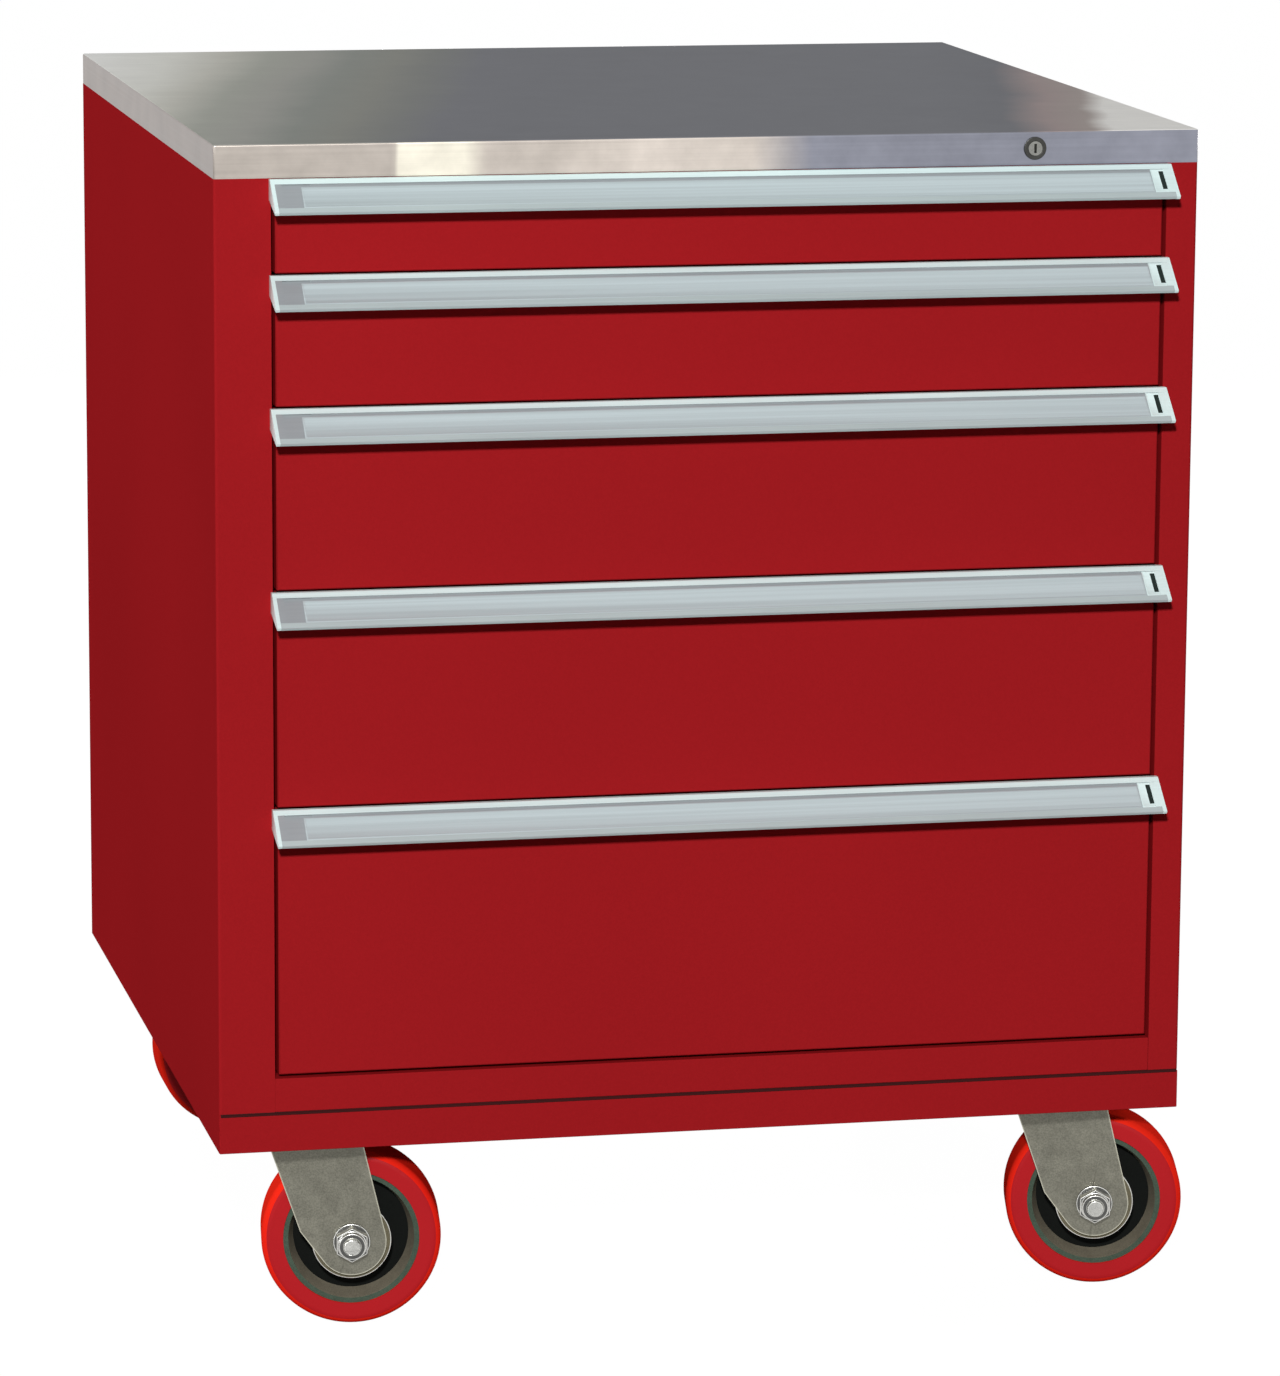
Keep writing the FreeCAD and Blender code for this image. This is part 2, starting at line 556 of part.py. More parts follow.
def drawer_pull(index):
    """The pull: an extrusion, two end caps and the label strip in its channel."""
    top = front_z(index)[1] + PULL_RISE
    ends = (LEFT_FACE - PULL_OVERHANG, CABINET_WIDTH - RIGHT_FACE + PULL_OVERHANG)
    body = (ends[0] + PULL_CAP, ends[1] - PULL_CAP)
    extruded = along_pull(pull_section(), body, top)
    length = math.hypot(PULL_REACH - PULL_TOP, PULL_DROP)
    outline = [(0.0, 0.0), (PULL_TOP, 0.0), slant(length, 0.0), slant(length, -PULL_WALL),
               (PULL_BACK_WALL, PULL_BACK), (0.0, PULL_BACK)]
    play = LABEL_PLAY
    channel_low, channel_high = PULL_RIM + LABEL_LIP + play, length - PULL_RIM - LABEL_LIP - play
    plug = [slant(channel_low, 0.0), slant(channel_high, 0.0), slant(channel_high, -LABEL_DEPTH),
            slant(channel_low, -LABEL_DEPTH)]
    caps = []
    for end, inward in ((ends[0], 1.0), (ends[1], -1.0)):
        cap = along_pull(outline, sorted((end, end + inward * PULL_CAP)), top)
        tongue = sorted((end + inward * PULL_CAP, end + inward * (PULL_CAP + CAP_TONGUE)))
        caps.append(cap.fuse(along_pull(plug, tongue, top)))
    lift = LABEL_STRIP - LABEL_DEPTH
    strip = [slant(PULL_RIM + play, -LABEL_DEPTH), slant(PULL_RIM + play, lift),
             slant(length - PULL_RIM - play, lift), slant(length - PULL_RIM - play, -LABEL_DEPTH)]
    clear = PULL_CAP + CAP_TONGUE
    label = along_pull(strip, (ends[0] + clear + LABEL_START, ends[1] - clear - LABEL_END), top)
    return [extruded] + caps + [label]


def lock_body():
    """The barrel with its bezel, and the ring nut that clamps it in the skin."""
    face = (LOCK_X, -LOCK_BEZEL_PROUD, LOCK_Z)
    barrel = rod(LOCK_BARREL / 2, (LOCK_X, 0.0, LOCK_Z), (0, 1, 0), LOCK_LENGTH)
    bezel = rod(LOCK_BEZEL / 2, face, (0, 1, 0), LOCK_BEZEL_PROUD)
    bore = rod(LOCK_PLUG / 2 + LOCK_FIT, face, (0, 1, 0), LOCK_LENGTH + LOCK_BEZEL_PROUD)
    nut_face = (LOCK_X, SKIN, LOCK_Z)
    nut = rod(LOCK_NUT / 2, nut_face, (0, 1, 0), LOCK_NUT_LENGTH)
    nut = nut.cut(rod(LOCK_BARREL / 2, nut_face, (0, 1, 0), LOCK_NUT_LENGTH))
    return [barrel.fuse(bezel).cut(bore).removeSplitter(), nut]


def lock_plug():
    """The plug with its key slot and square tail, the cam with its pin, and the cam screw."""
    face = (LOCK_X, -LOCK_BEZEL_PROUD, LOCK_Z)
    plug = rod(LOCK_PLUG / 2, face, (0, 1, 0), LOCK_LENGTH + LOCK_BEZEL_PROUD)
    half = LOCK_TAIL / 2
    tail = block((LOCK_X - half, LOCK_X + half), (LOCK_LENGTH, CAM_BACK), (LOCK_Z - half, LOCK_Z + half))
    slot = block((LOCK_X - KEY_SLOT[0] / 2, LOCK_X + KEY_SLOT[0] / 2),
                 (-LOCK_BEZEL_PROUD, KEY_SLOT_DEPTH), (LOCK_Z - KEY_SLOT[1] / 2, LOCK_Z + KEY_SLOT[1] / 2))
    screw_seat = (LOCK_X, CAM_BACK, LOCK_Z)
    screw_depth = CAM_BACK - LOCK_LENGTH
    plug = plug.fuse(tail).cut(slot)
    plug = plug.cut(rod(CAM_SCREW_HOLE / 2, screw_seat, (0, -1, 0), screw_depth)).removeSplitter()
    pin_x = LOCK_X - CAM_RADIUS * math.sin(CAM_OPEN)
    pin_z = LOCK_Z - CAM_RADIUS * math.cos(CAM_OPEN)
    eye = rod(CAM_EYE, (LOCK_X, CAM_Y, LOCK_Z), (0, 1, 0), CAM_STEEL)
    tip = rod(CAM_TIP, (pin_x, CAM_Y, pin_z), (0, 1, 0), CAM_STEEL)
    across = (math.cos(CAM_OPEN) * CAM_TIP, math.sin(CAM_OPEN) * CAM_TIP)
    arm = extrusion([(LOCK_X - across[0], CAM_Y, LOCK_Z + across[1]), (LOCK_X + across[0], CAM_Y, LOCK_Z - across[1]),
                     (pin_x + across[0], CAM_Y, pin_z - across[1]), (pin_x - across[0], CAM_Y, pin_z + across[1])],
                    (0, CAM_STEEL, 0))
    pin_length = BAR_Y + BAR_STEEL + BAR_PLAY - CAM_BACK
    pin = rod(CAM_PIN / 2, (pin_x, CAM_BACK, pin_z), (0, 1, 0), pin_length)
    square = block((LOCK_X - half, LOCK_X + half), (CAM_Y, CAM_BACK), (LOCK_Z - half, LOCK_Z + half))
    cam = eye.multiFuse([tip, arm, pin]).cut(square).removeSplitter()
    head = rod(CAM_SCREW_HEAD / 2, screw_seat, (0, 1, 0), CAM_STEEL)
    screw = head.fuse(rod(CAM_SCREW / 2, screw_seat, (0, -1, 0), screw_depth)).removeSplitter()
    return [plug, cam, screw]


def transfer_bar():
    """The flat bar between cam and lock bar, with a notch for one pin and a sloping slot for the other."""
    span_y = (BAR_Y, BAR_Y + BAR_STEEL)
    bar = block((LOCK_X - BAR_LEFT, BAR_PIN_X + BAR_PIN_MARGIN), span_y, BAR_Z)
    pin_x = LOCK_X - CAM_RADIUS * math.sin(CAM_OPEN)
    half = CAM_PIN / 2 + CAM_PLAY
    bottom = LOCK_Z - CAM_RADIUS - CAM_PIN / 2 - BAR_PLAY
    bar = bar.cut(block((pin_x - half, pin_x + half), span_y, (bottom, BAR_Z[1])))
    radius = CAM_PIN / 2 + BAR_PLAY
    low = (BAR_PIN_X, BAR_Y, arm_z())
    high = (BAR_PIN_X - BAR_TRAVEL, BAR_Y, arm_z() + LOCKBAR_LIFT)
    slope = math.hypot(BAR_TRAVEL, LOCKBAR_LIFT)
    side = (radius * LOCKBAR_LIFT / slope, radius * BAR_TRAVEL / slope)
    slot = extrusion([(low[0] + side[0], BAR_Y, low[2] + side[1]), (low[0] - side[0], BAR_Y, low[2] - side[1]),
                      (high[0] - side[0], BAR_Y, high[2] - side[1]), (high[0] + side[0], BAR_Y, high[2] + side[1])],
                     (0, BAR_STEEL, 0))
    ends = [rod(radius, place, (0, 1, 0), BAR_STEEL) for place in (low, high)]
    return bar.cut(slot.multiFuse(ends).removeSplitter())


def arm_z():
    """The height of the lock bar's pin when the cabinet is not locked."""
    return (BAR_Z[0] + BAR_Z[1] - LOCKBAR_LIFT) / 2


def lock_bar():
    """The upright bar, with its arm, its pin and a tab below the catch of each drawer welded on."""
    span_y = (LOCKBAR_Y, LOCKBAR_Y + LOCKBAR_STEEL)
    arm = (arm_z() - LOCKBAR_ARM / 2, arm_z() + LOCKBAR_ARM / 2)
    right = LOCKBAR_X + LOCKBAR_WIDTH
    bar = block((LOCKBAR_X, right), span_y, (LOCKBAR_FOOT, arm[1]))
    pin = rod(CAM_PIN / 2, (BAR_PIN_X, BAR_Y - BAR_PLAY, arm_z()), (0, 1, 0), LOCKBAR_Y - BAR_Y + BAR_PLAY)
    pieces = [bar, block((BAR_PIN_X - LOCKBAR_ARM / 2, LOCKBAR_X), span_y, arm), pin]
    for index in range(len(FRONT_HEIGHTS)):
        top = catch_z(index) - TAB_GAP
        pieces.append(block((SLIDE_RIGHT - TAB_REACH, LOCKBAR_X), span_y, (top - TAB_HEIGHT, top)))
    return pieces


def swivel_centres():
    """The swivel axis of each caster in cabinet coordinates."""
    left, right = SWIVEL_INSET, CABINET_WIDTH - SWIVEL_INSET
    front, rear = SWIVEL_INSET, CABINET_DEPTH - SWIVEL_INSET
    return {"fl": (left, front), "fr": (right, front), "rl": (left, rear), "rr": (right, rear)}


def bolt_places(centre):
    """The four bolts of one caster plate."""
    half_x, half_y = PLATE_BOLTS[0] / 2, PLATE_BOLTS[1] / 2
    return [(centre[0] + x, centre[1] + y) for x in (-half_x, half_x) for y in (-half_y, half_y)]


def caster_plate(centre):
    """The top plate with its bearing ring, and the kingpin that hangs the fork."""
    x, y = centre
    low = GUSSET_Z - TOP_PLATE[2]
    half_x, half_y = TOP_PLATE[0] / 2, TOP_PLATE[1] / 2
    plate = block((x - half_x, x + half_x), (y - half_y, y + half_y), (low, GUSSET_Z))
    plate = rounded(plate, PLATE_CORNER, lambda edge: abs(edge.Vertexes[0].Point.z - edge.Vertexes[-1].Point.z) > 1.0)
    ring_z = CROWN_Z + SWIVEL_CUP_HEIGHT + RACE_GAP
    ring = rod(RACE_RADIUS, (x, y, ring_z), (0, 0, 1), low - ring_z)
    ring = ring.cut(rod(RACE_INNER, (x, y, ring_z), (0, 0, 1), low - ring_z))
    plate = plate.fuse(ring)
    holes = [rod(PLATE_HOLE, (hole[0], hole[1], low), (0, 0, 1), TOP_PLATE[2]) for hole in bolt_places(centre)]
    head_top = CROWN_Z - CROWN_STEEL - KINGPIN_GAP
    pin = rod(KINGPIN, (x, y, head_top), (0, 0, 1), low - head_top)
    head = rod(KINGPIN_HEAD, (x, y, head_top - KINGPIN_HEAD_HEIGHT), (0, 0, 1), KINGPIN_HEAD_HEIGHT)
    return [plate.cut(Part.makeCompound(holes)).removeSplitter(), pin.fuse(head).removeSplitter()]


def caster_bolts(centre):
    """The four bolts and nuts that hold the plate to the gusset."""
    low = GUSSET_Z - TOP_PLATE[2]
    high = GUSSET_Z + GUSSET
    pieces = []
    for x, y in bolt_places(centre):
        head = hexagon_bar(BOLT_HEX, (x, y, low - BOLT_HEX_HEIGHT), (0, 0, 1), BOLT_HEX_HEIGHT)
        shank_end = high + BOLT_HEX_HEIGHT + BOLT_STICKOUT - 1.0
        shank = rod(PLATE_BOLT, (x, y, low), (0, 0, 1), shank_end - low)
        nut = hexagon_bar(BOLT_HEX, (x, y, high), (0, 0, 1), BOLT_HEX_HEIGHT)
        pieces.append(head.fuse(shank).removeSplitter())
        pieces.append(nut.cut(rod(PLATE_BOLT, (x, y, high), (0, 0, 1), BOLT_HEX_HEIGHT)))
    return pieces


def tangent_point(outside, centre, radius, side):
    """Where a line from a point outside a circle touches it, on the chosen side."""
    dx, dz = outside[0] - centre[0], outside[1] - centre[1]
    distance = math.hypot(dx, dz)
    angle = math.atan2(dz, dx) + side * math.acos(radius / distance)
    return centre[0] + radius * math.cos(angle), centre[1] + radius * math.sin(angle)


def fork_leg(centre, y):
    """One leg, slanting from the crown down to its round end at the axle."""
    axle = (centre[0] + TRAIL, AXLE_Z)
    crown = ((centre[0] + FORK_BACK, CROWN_Z), (centre[0] + FORK_FRONT, CROWN_Z))
    knee = (axle[0] + FORK_KNEE[0], axle[1] + FORK_KNEE[1])
    right = tangent_point(crown[1], axle, FORK_END, -1.0)
    left = tangent_point(knee, axle, FORK_END, 1.0)
    lowest = (axle[0], axle[1] - FORK_END)
    corner = [row(x, y, z) for x, z in (left, knee, crown[0], crown[1], right)]
    arc = Part.Arc(corner[-1], row(lowest[0], y, lowest[1]), corner[0]).toShape()
    outline = Part.Wire(Part.makePolygon(corner).Edges + [arc])
    return Part.Face(outline).extrude(Vector(0, FORK_STEEL, 0))


def caster_fork(centre):
    """The pressed fork: crown, swivel cup and two legs."""
    x, y = centre
    outer = FORK_GAP + FORK_STEEL
    crown = block((x + FORK_BACK, x + FORK_FRONT), (y - outer, y + outer), (CROWN_Z - CROWN_STEEL, CROWN_Z))
    fork = crown.multiFuse([fork_leg(centre, y - outer), fork_leg(centre, y + FORK_GAP)]).removeSplitter()
    top = ROW_BASE + CROWN_Z
    sides = [ROW_FRONT + y - outer, ROW_FRONT + y + outer]

    def bend(edge):
        ends = [vertex.Point for vertex in edge.Vertexes]
        at_top = all(abs(end.z - top) < 0.01 for end in ends)
        return at_top and any(all(abs(end.y - side) < 0.01 for end in ends) for side in sides)
    fork = rounded(fork, FORK_BEND, bend)
    cup = rod(SWIVEL_CUP - FORK_BEND, (x, y, CROWN_Z), (0, 0, 1), SWIVEL_CUP_HEIGHT)
    hole = rod(KINGPIN + KINGPIN_FIT, (x, y, CROWN_Z - CROWN_STEEL), (0, 0, 1), CROWN_STEEL + SWIVEL_CUP_HEIGHT)
    axle_hole = rod(AXLE_RADIUS + AXLE_FIT, (x + TRAIL, y - outer, AXLE_Z), (0, 1, 0), 2 * outer)
    return fork.fuse(cup).cut(hole).cut(axle_hole).removeSplitter()


def caster_axle(centre):
    """The axle bolt with its nut and washers, the thread guards, and the bushing that the wheel runs on."""
    x, y = centre[0] + TRAIL, centre[1]
    outer = FORK_GAP + FORK_STEEL
    nut_face = y - outer - WASHER_STEEL
    head_face = y + outer + WASHER_STEEL
    bolt_start = nut_face - NUT_LENGTH - NUT_COLLAR - BOLT_STICKOUT
    bolt = rod(AXLE_RADIUS, (x, bolt_start, AXLE_Z), (0, 1, 0), head_face - bolt_start)
    head = hexagon_bar(NUT_ACROSS, (x, head_face, AXLE_Z), (0, 1, 0), BOLT_HEAD)
    nut = hexagon_bar(NUT_ACROSS, (x, nut_face - NUT_LENGTH, AXLE_Z), (0, 1, 0), NUT_LENGTH)
    collar = rod(NUT_COLLAR_RADIUS, (x, nut_face - NUT_LENGTH - NUT_COLLAR, AXLE_Z), (0, 1, 0), NUT_COLLAR)
    nut_start = nut_face - NUT_LENGTH - NUT_COLLAR
    nut = nut.fuse(collar).cut(rod(AXLE_RADIUS, (x, nut_start, AXLE_Z), (0, 1, 0), NUT_LENGTH + NUT_COLLAR))

    def ring(radius, start, length):
        around = rod(radius, (x, start, AXLE_Z), (0, 1, 0), length)
        return around.cut(rod(AXLE_RADIUS, (x, start, AXLE_Z), (0, 1, 0), length))
    washers = [ring(WASHER_RADIUS, nut_face, WASHER_STEEL), ring(WASHER_RADIUS, y + outer, WASHER_STEEL)]
    guards = [ring(GUARD_RADIUS, y - FORK_GAP, GUARD_STEEL), ring(GUARD_RADIUS, y + FORK_GAP - GUARD_STEEL, GUARD_STEEL)]
    half = FORK_GAP - GUARD_STEEL
    bushing = ring(BUSHING_RADIUS, y - half, 2 * half)
    return [bolt.fuse(head).removeSplitter(), nut.removeSplitter()] + washers + guards + [bushing]


def turned(profile, centre):
    """A ring turned about the axle from radius and width pairs."""
    axle = row(centre[0] + TRAIL, centre[1], AXLE_Z)
    corners = [Vector(axle.x, axle.y + width, axle.z + radius) for radius, width in profile]
    face = Part.Face(Part.makePolygon(corners + corners[:1]))
    return face.revolve(axle, Vector(0, 1, 0), 360)


def caster_hub(centre):
    """The cast hub with its rim, web and boss, and the two bearings."""
    rim, web, boss = HUB_WIDTH / 2, HUB_WEB / 2, HUB_LENGTH / 2
    inner_rim = TYRE_BORE - HUB_RIM
    hub = turned([(TYRE_BORE, -rim), (TYRE_BORE, rim), (inner_rim + HUB_DISH, rim), (inner_rim, web),
                  (HUB_BOSS + HUB_DISH, web), (HUB_BOSS, boss), (BEARING_RADIUS, boss), (BEARING_RADIUS, -boss),
                  (HUB_BOSS, -boss), (HUB_BOSS + HUB_DISH, -web), (inner_rim, -web), (inner_rim + HUB_DISH, -rim)], centre)
    inner = BUSHING_RADIUS + AXLE_FIT
    bearings = []
    for start in (-boss, boss - BEARING_WIDTH):
        end = start + BEARING_WIDTH
        bearings.append(turned([(inner, start), (BEARING_RADIUS, start), (BEARING_RADIUS, end), (inner, end)], centre))
    return [hub] + bearings


def caster_tyre(centre):
    """The polyurethane tread, with rounded shoulders."""
    x, y = centre[0] + TRAIL, centre[1]
    half = TREAD_WIDTH / 2
    tyre = rod(WHEEL_RADIUS, (x, y - half, AXLE_Z), (0, 1, 0), TREAD_WIDTH)
    tyre = tyre.makeFillet(TREAD_SHOULDER, [edge for edge in tyre.Edges if edge.isClosed()])
    return tyre.cut(rod(TYRE_BORE, (x, y - half, AXLE_Z), (0, 1, 0), TREAD_WIDTH))


def turned_caster(shapes, corner, centre):
    """The shapes of a caster, turned about its swivel axis to its place at rest."""
    for shape in shapes:
        shape.rotate(row(centre[0], centre[1], 0.0), Vector(0, 0, 1), CASTER_TURN[corner])
    return shapes


def main():
    os.makedirs("parts", exist_ok=True)
    save("left_side_panel", [side_panel(True)])
    save("right_side_panel", [side_panel(False).multiFuse(lock_bar_guides()).removeSplitter()])
    save("left_front_post", [front_post(True)])
    save("right_front_post", [front_post(False)])
    save("back_panel", [back_panel()])
    save("bottom_rail", [bottom_rail()])
    save("base_frame", [base_frame()])
    save("bottom_pan", [bottom_pan()])
    save("top_pan", [top_pan()])
    save("worktop", [worktop()])
    save("worktop_core", [worktop_core()])
    save("slide_uprights", slide_uprights())
    rails = []
    for index in range(len(FRONT_HEIGHTS)):
        name = "drawer_%d_" % (index + 1)
        cabinet_side, middles, runners = slide_members(index)
        rails += cabinet_side
        save(name + "middles", middles)
        save(name + "runners", runners)
        save(name + "front", [drawer_front(index)])
        save(name + "box", drawer_box(index))
        save(name + "pull", drawer_pull(index))
    save("cabinet_rails", rails)
    save("lock_body", lock_body())
    save("lock_plug", lock_plug())
    save("transfer_bar", [transfer_bar()])
    save("lock_bar", lock_bar())
    plates, bolts = [], []
    for corner, centre in swivel_centres().items():
        plates += caster_plate(centre)
        bolts += caster_bolts(centre)
        name = "caster_" + corner + "_"
        save(name + "fork", turned_caster([caster_fork(centre)], corner, centre))
        save(name + "axle", turned_caster(caster_axle(centre), corner, centre))
        save(name + "hub", turned_caster(caster_hub(centre), corner, centre))
        save(name + "tyre", turned_caster([caster_tyre(centre)], corner, centre))
    save("caster_plates", plates)
    save("caster_bolts", bolts)


main()
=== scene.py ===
import json
import math

import bpy
from bpy.props import FloatProperty, FloatVectorProperty, PointerProperty
from bpy.types import Operator, Panel, PropertyGroup
from mathutils import Matrix, Vector


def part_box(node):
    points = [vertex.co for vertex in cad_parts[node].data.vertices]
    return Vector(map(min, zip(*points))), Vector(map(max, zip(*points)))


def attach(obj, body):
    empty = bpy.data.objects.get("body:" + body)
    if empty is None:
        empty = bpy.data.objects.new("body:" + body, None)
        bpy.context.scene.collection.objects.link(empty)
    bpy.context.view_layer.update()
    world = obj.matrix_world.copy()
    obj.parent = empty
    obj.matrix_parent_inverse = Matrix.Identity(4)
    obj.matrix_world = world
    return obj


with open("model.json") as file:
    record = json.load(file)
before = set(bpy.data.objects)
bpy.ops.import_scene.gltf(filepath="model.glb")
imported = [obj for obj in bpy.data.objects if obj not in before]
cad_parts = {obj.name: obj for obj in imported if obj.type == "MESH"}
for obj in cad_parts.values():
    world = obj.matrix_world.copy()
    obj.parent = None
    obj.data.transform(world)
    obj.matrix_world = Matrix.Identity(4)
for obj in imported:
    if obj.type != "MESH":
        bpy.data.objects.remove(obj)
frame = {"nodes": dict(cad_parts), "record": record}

bl_info = {
    "name": "Tool Cabinet Finish",
    "version": (1, 0, 0),
    "blender": (4, 5, 0),
    "location": "View3D > Sidebar > Cabinet",
    "description": "Dresses a tool cabinet: paint, worktop, pulls, labels, lock and casters",
    "category": "Object",
}

DRAWERS = range(1, 6)
CORNERS = ("fl", "fr", "rl", "rr")
BASE_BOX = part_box("base_frame")
LEFT, FRONT, BASE = BASE_BOX[0]
RIGHT = BASE_BOX[1][0]
PAINTED = ("left_side_panel", "right_side_panel", "back_panel", "bottom_rail", "base_frame",
           "left_front_post", "right_front_post", "bottom_pan", "top_pan")

# Section of a drawer pull, in metres: a flat strip, and a slope with the label channel in it.
PULL_REACH = 0.032          # how far the lower lip stands out of the front
PULL_FLAT = 0.005           # depth of the flat strip on top
PULL_DROP = 0.022           # how far the lower lip lies below the top
LIP = 0.005                 # rim above and below the channel, down the slope
SLOPE = math.hypot(PULL_REACH - PULL_FLAT, PULL_DROP)
CAP_FACE = 0.0029           # nearer to a pull's end than this, a face belongs to its end cap
CAP_TONGUE = 0.012          # length of the end cap's tongue in the channel
RIM_FACE = -0.0003          # height over the slope above which a face belongs to the rim
CHANNEL_FACE = -0.0007      # height over the slope below which a face belongs to the channel

# Pieces set in the channel of a pull: their undersides and faces, as heights over the slope.
CARD_HEIGHTS = (-0.00085, -0.00035)
STOP_HEIGHTS = (-0.00085, -0.00025)
SLOT_HEIGHTS = (-0.00060, -0.00012)
SNUG = 0.0002               # room between such a piece and what holds it
STOP_INSET = 0.0031         # from the stop's outer end to the pull's end
SLOT_MARGINS = (0.0024, 0.0036)  # from the rims to the slot's upper and lower ends
SHADOW_LINE = 0.003         # bare channel above the label, which shows as a dark line

# The dark bead along the front between the housing and its base: painted shadow in the gap there.
SHADOW_BEAD_DEPTH = 0.0005
SHADOW_BEAD_ENDS = 0.002           # how much shorter it is than the base is wide

# Parts of a wheel, as shares of its radius.
HUB_RIM_SHARE = 0.68        # inner edge of the tread
RECESS_SHARE = 0.9          # inner edge of the hub's slope, as a share of that edge
PLATE_SHARE = 0.34          # the outer faces of the axle hardware lie further out along the axle
GUARD_SHARE = 0.27          # the thread guards reach further than this from the axle
NUT_SHARE = 0.09            # the washer's face shows further from the axle than this

# Tones that no one would change by themselves, as linear values.
WORKTOP_SIDE = (0.235, 0.195, 0.175)
DECK_GLOSS = (0.25, 0.25, 0.25, 1.0)
# Cream patch of painted reflection on the worktop's front edge.
CREAM_REFLECTION = (0.97, 0.92, 0.78)
# Painted highlight on the pulls' top strips and upper rims; also the light tone of their end caps
# and label stops.
PULL_HIGHLIGHT_AND_CAPS = (0.80, 0.97, 0.96)
# Darker tone of the label channel floor: painted shade in the recess between the rims, which shows
# as the shadow line above the label.
LABEL_CHANNEL_SHADE = (0.37, 0.40, 0.42)
THREAD_GUARD = (0.135, 0.120, 0.075)
NUT_FACE = (0.10, 0.10, 0.095)
# Near-black painted shadow in the hub's recess.
HUB_RECESS_SHADOW = (0.006, 0.007, 0.006)
HUB_SLOPE = (0.230, 0.205, 0.150)
# Bright red of the wheels' shoulders and running faces: painted highlight of light along their
# rims.
SHOULDER_HIGHLIGHT = ((0.80, 0.016, 0.008), (0.86, 0.024, 0.010))

# The stage. The camera's place is taken from the lower front left corner of the base.
CAMERA_FROM_CORNER = (-0.683, -4.641, 1.263)
CAMERA_TURN = (12.27, -10.86, 0.35)  # yaw, pitch and roll in degrees
SENSOR_WIDTH = 36.0
LAMP_TARGET = (0.0, 0.0, 0.5)
LAMPS = (  # name, place, side of its square, watts
    ("key lamp", (-1.6, -6.3, 2.9), 0.35, 412.0),
    ("left lamp", (-4.5, 0.9, 1.6), 2.0, 103.0),
    ("right lamp", (4.6, 1.4, 0.72), 0.4, 95.0),
    ("back lamp", (0.9, 4.8, 0.72), 0.4, 105.0),
)
WORLD_LIGHT = (0.05, 1.0)   # strength for other rays, and for the camera and gloss
FLOOR_GLOW = (0.0, 0.90)    # share of glow for other rays, and for the camera and gloss
GLOW_STRENGTH = 1.10


def colour(name, text, value):
    """A colour that the panel shows."""
    return FloatVectorProperty(name=name, description=text, default=value, size=3,
                               min=0.0, max=1.0, subtype="COLOR")


def length(name, text, value):
    """A length in metres that the panel shows."""
    return FloatProperty(name=name, description=text, default=value,
                         min=0.0, unit="LENGTH", precision=4)


class CabinetColours(PropertyGroup):
    """Colours of the finishes, as linear values."""
    paint: colour("Paint", "Red powder coat on the housing and the drawers",
                  (0.340, 0.0110, 0.0142))
    steel: colour("Worktop", "Middle tone of the brushed worktop", (0.245, 0.249, 0.270))
    steel_edge: colour("Worktop edge", "Tone of the folded worktop edge", (0.50, 0.45, 0.405))
    pull: colour("Pull", "Satin anodised aluminium of the drawer pulls", (0.51, 0.59, 0.595))
    label: colour("Label", "Label card under its clear cover", (0.50, 0.58, 0.60))
    # The slot colour is painted shadow: the near-black of the channel floor in shade at a label's
    # right end.
    slot: colour("Slot", "Painted shadow in the slot at a label's right end", (0.012, 0.020, 0.018))
    # The seam colour is painted shadow: the dark of the gap between the housing and its base.
    seam: colour("Seam", "Painted shadow in the gap between the housing and the base", (0.030, 0.003, 0.003))
    zinc: colour("Zinc", "Zinc plating on slides, bars and fasteners", (0.55, 0.55, 0.52))
    fork: colour("Fork", "Pressed steel of the caster forks", (0.175, 0.170, 0.138))
    tread: colour("Tread", "Polyurethane tread of the wheels", (0.440, 0.0105, 0.0150))
    hub: colour("Hub", "Painted casting of the wheel hubs", (0.075, 0.110, 0.080))
    board: colour("Board", "Raw board inside the worktop", (0.36, 0.25, 0.15))
    nickel: colour("Nickel", "Nickel plating of the lock", (0.30, 0.30, 0.28))
    floor: colour("Floor", "Studio floor away from the camera's eye", (0.18, 0.18, 0.18))


class CabinetSizes(PropertyGroup):
    """Sizes of the pieces that are added to the frame, and of the stage."""
    edge_round: length("Edge round", "Rounding of the sheet metal edges", 0.0006)
    label_start: length("Label start", "Bare channel between a pull's left end and its label",
                        0.0225)
    label_end: length("Label end", "From the end of a label to the pull's right end", 0.0185)
    # The dark slot is a patch of painted shadow.
    slot_place: length("Slot place", "From the middle of the dark slot to the pull's right end",
                       0.0102)
    slot_width: length("Slot width", "Width of the dark slot", 0.0036)
    # The seam bead is a dark strip of painted shadow in the gap above the base.
    seam_shadow_height: length("Seam height", "Height of the bead between the housing and the base",
                        0.0026)
    camera_focal: FloatProperty(name="Focal length", description="Lens of the camera",
                                default=165.5, min=1.0, unit="CAMERA")
    floor_side: length("Floor side", "Side of the studio floor", 40.0)


def new_material(name):
    """A node material with nothing but its output and shader."""
    material = bpy.data.materials.new(name)
    material.use_nodes = True
    nodes, links = material.node_tree.nodes, material.node_tree.links
    nodes.clear()
    output = nodes.new("ShaderNodeOutputMaterial")
    shader = nodes.new("ShaderNodeBsdfPrincipled")
    links.new(shader.outputs["BSDF"], output.inputs["Surface"])
    return material, nodes, links, shader


def shader_of(material):
    """The shader of a material made by new_material."""
    return material.node_tree.nodes["Principled BSDF"]


def grey(level):
    """A colour without a tint."""
    return (level, level, level)


def shade(tone, factor):
    """A colour made lighter or darker."""
    return tuple(min(1.0, part * factor) for part in tone)


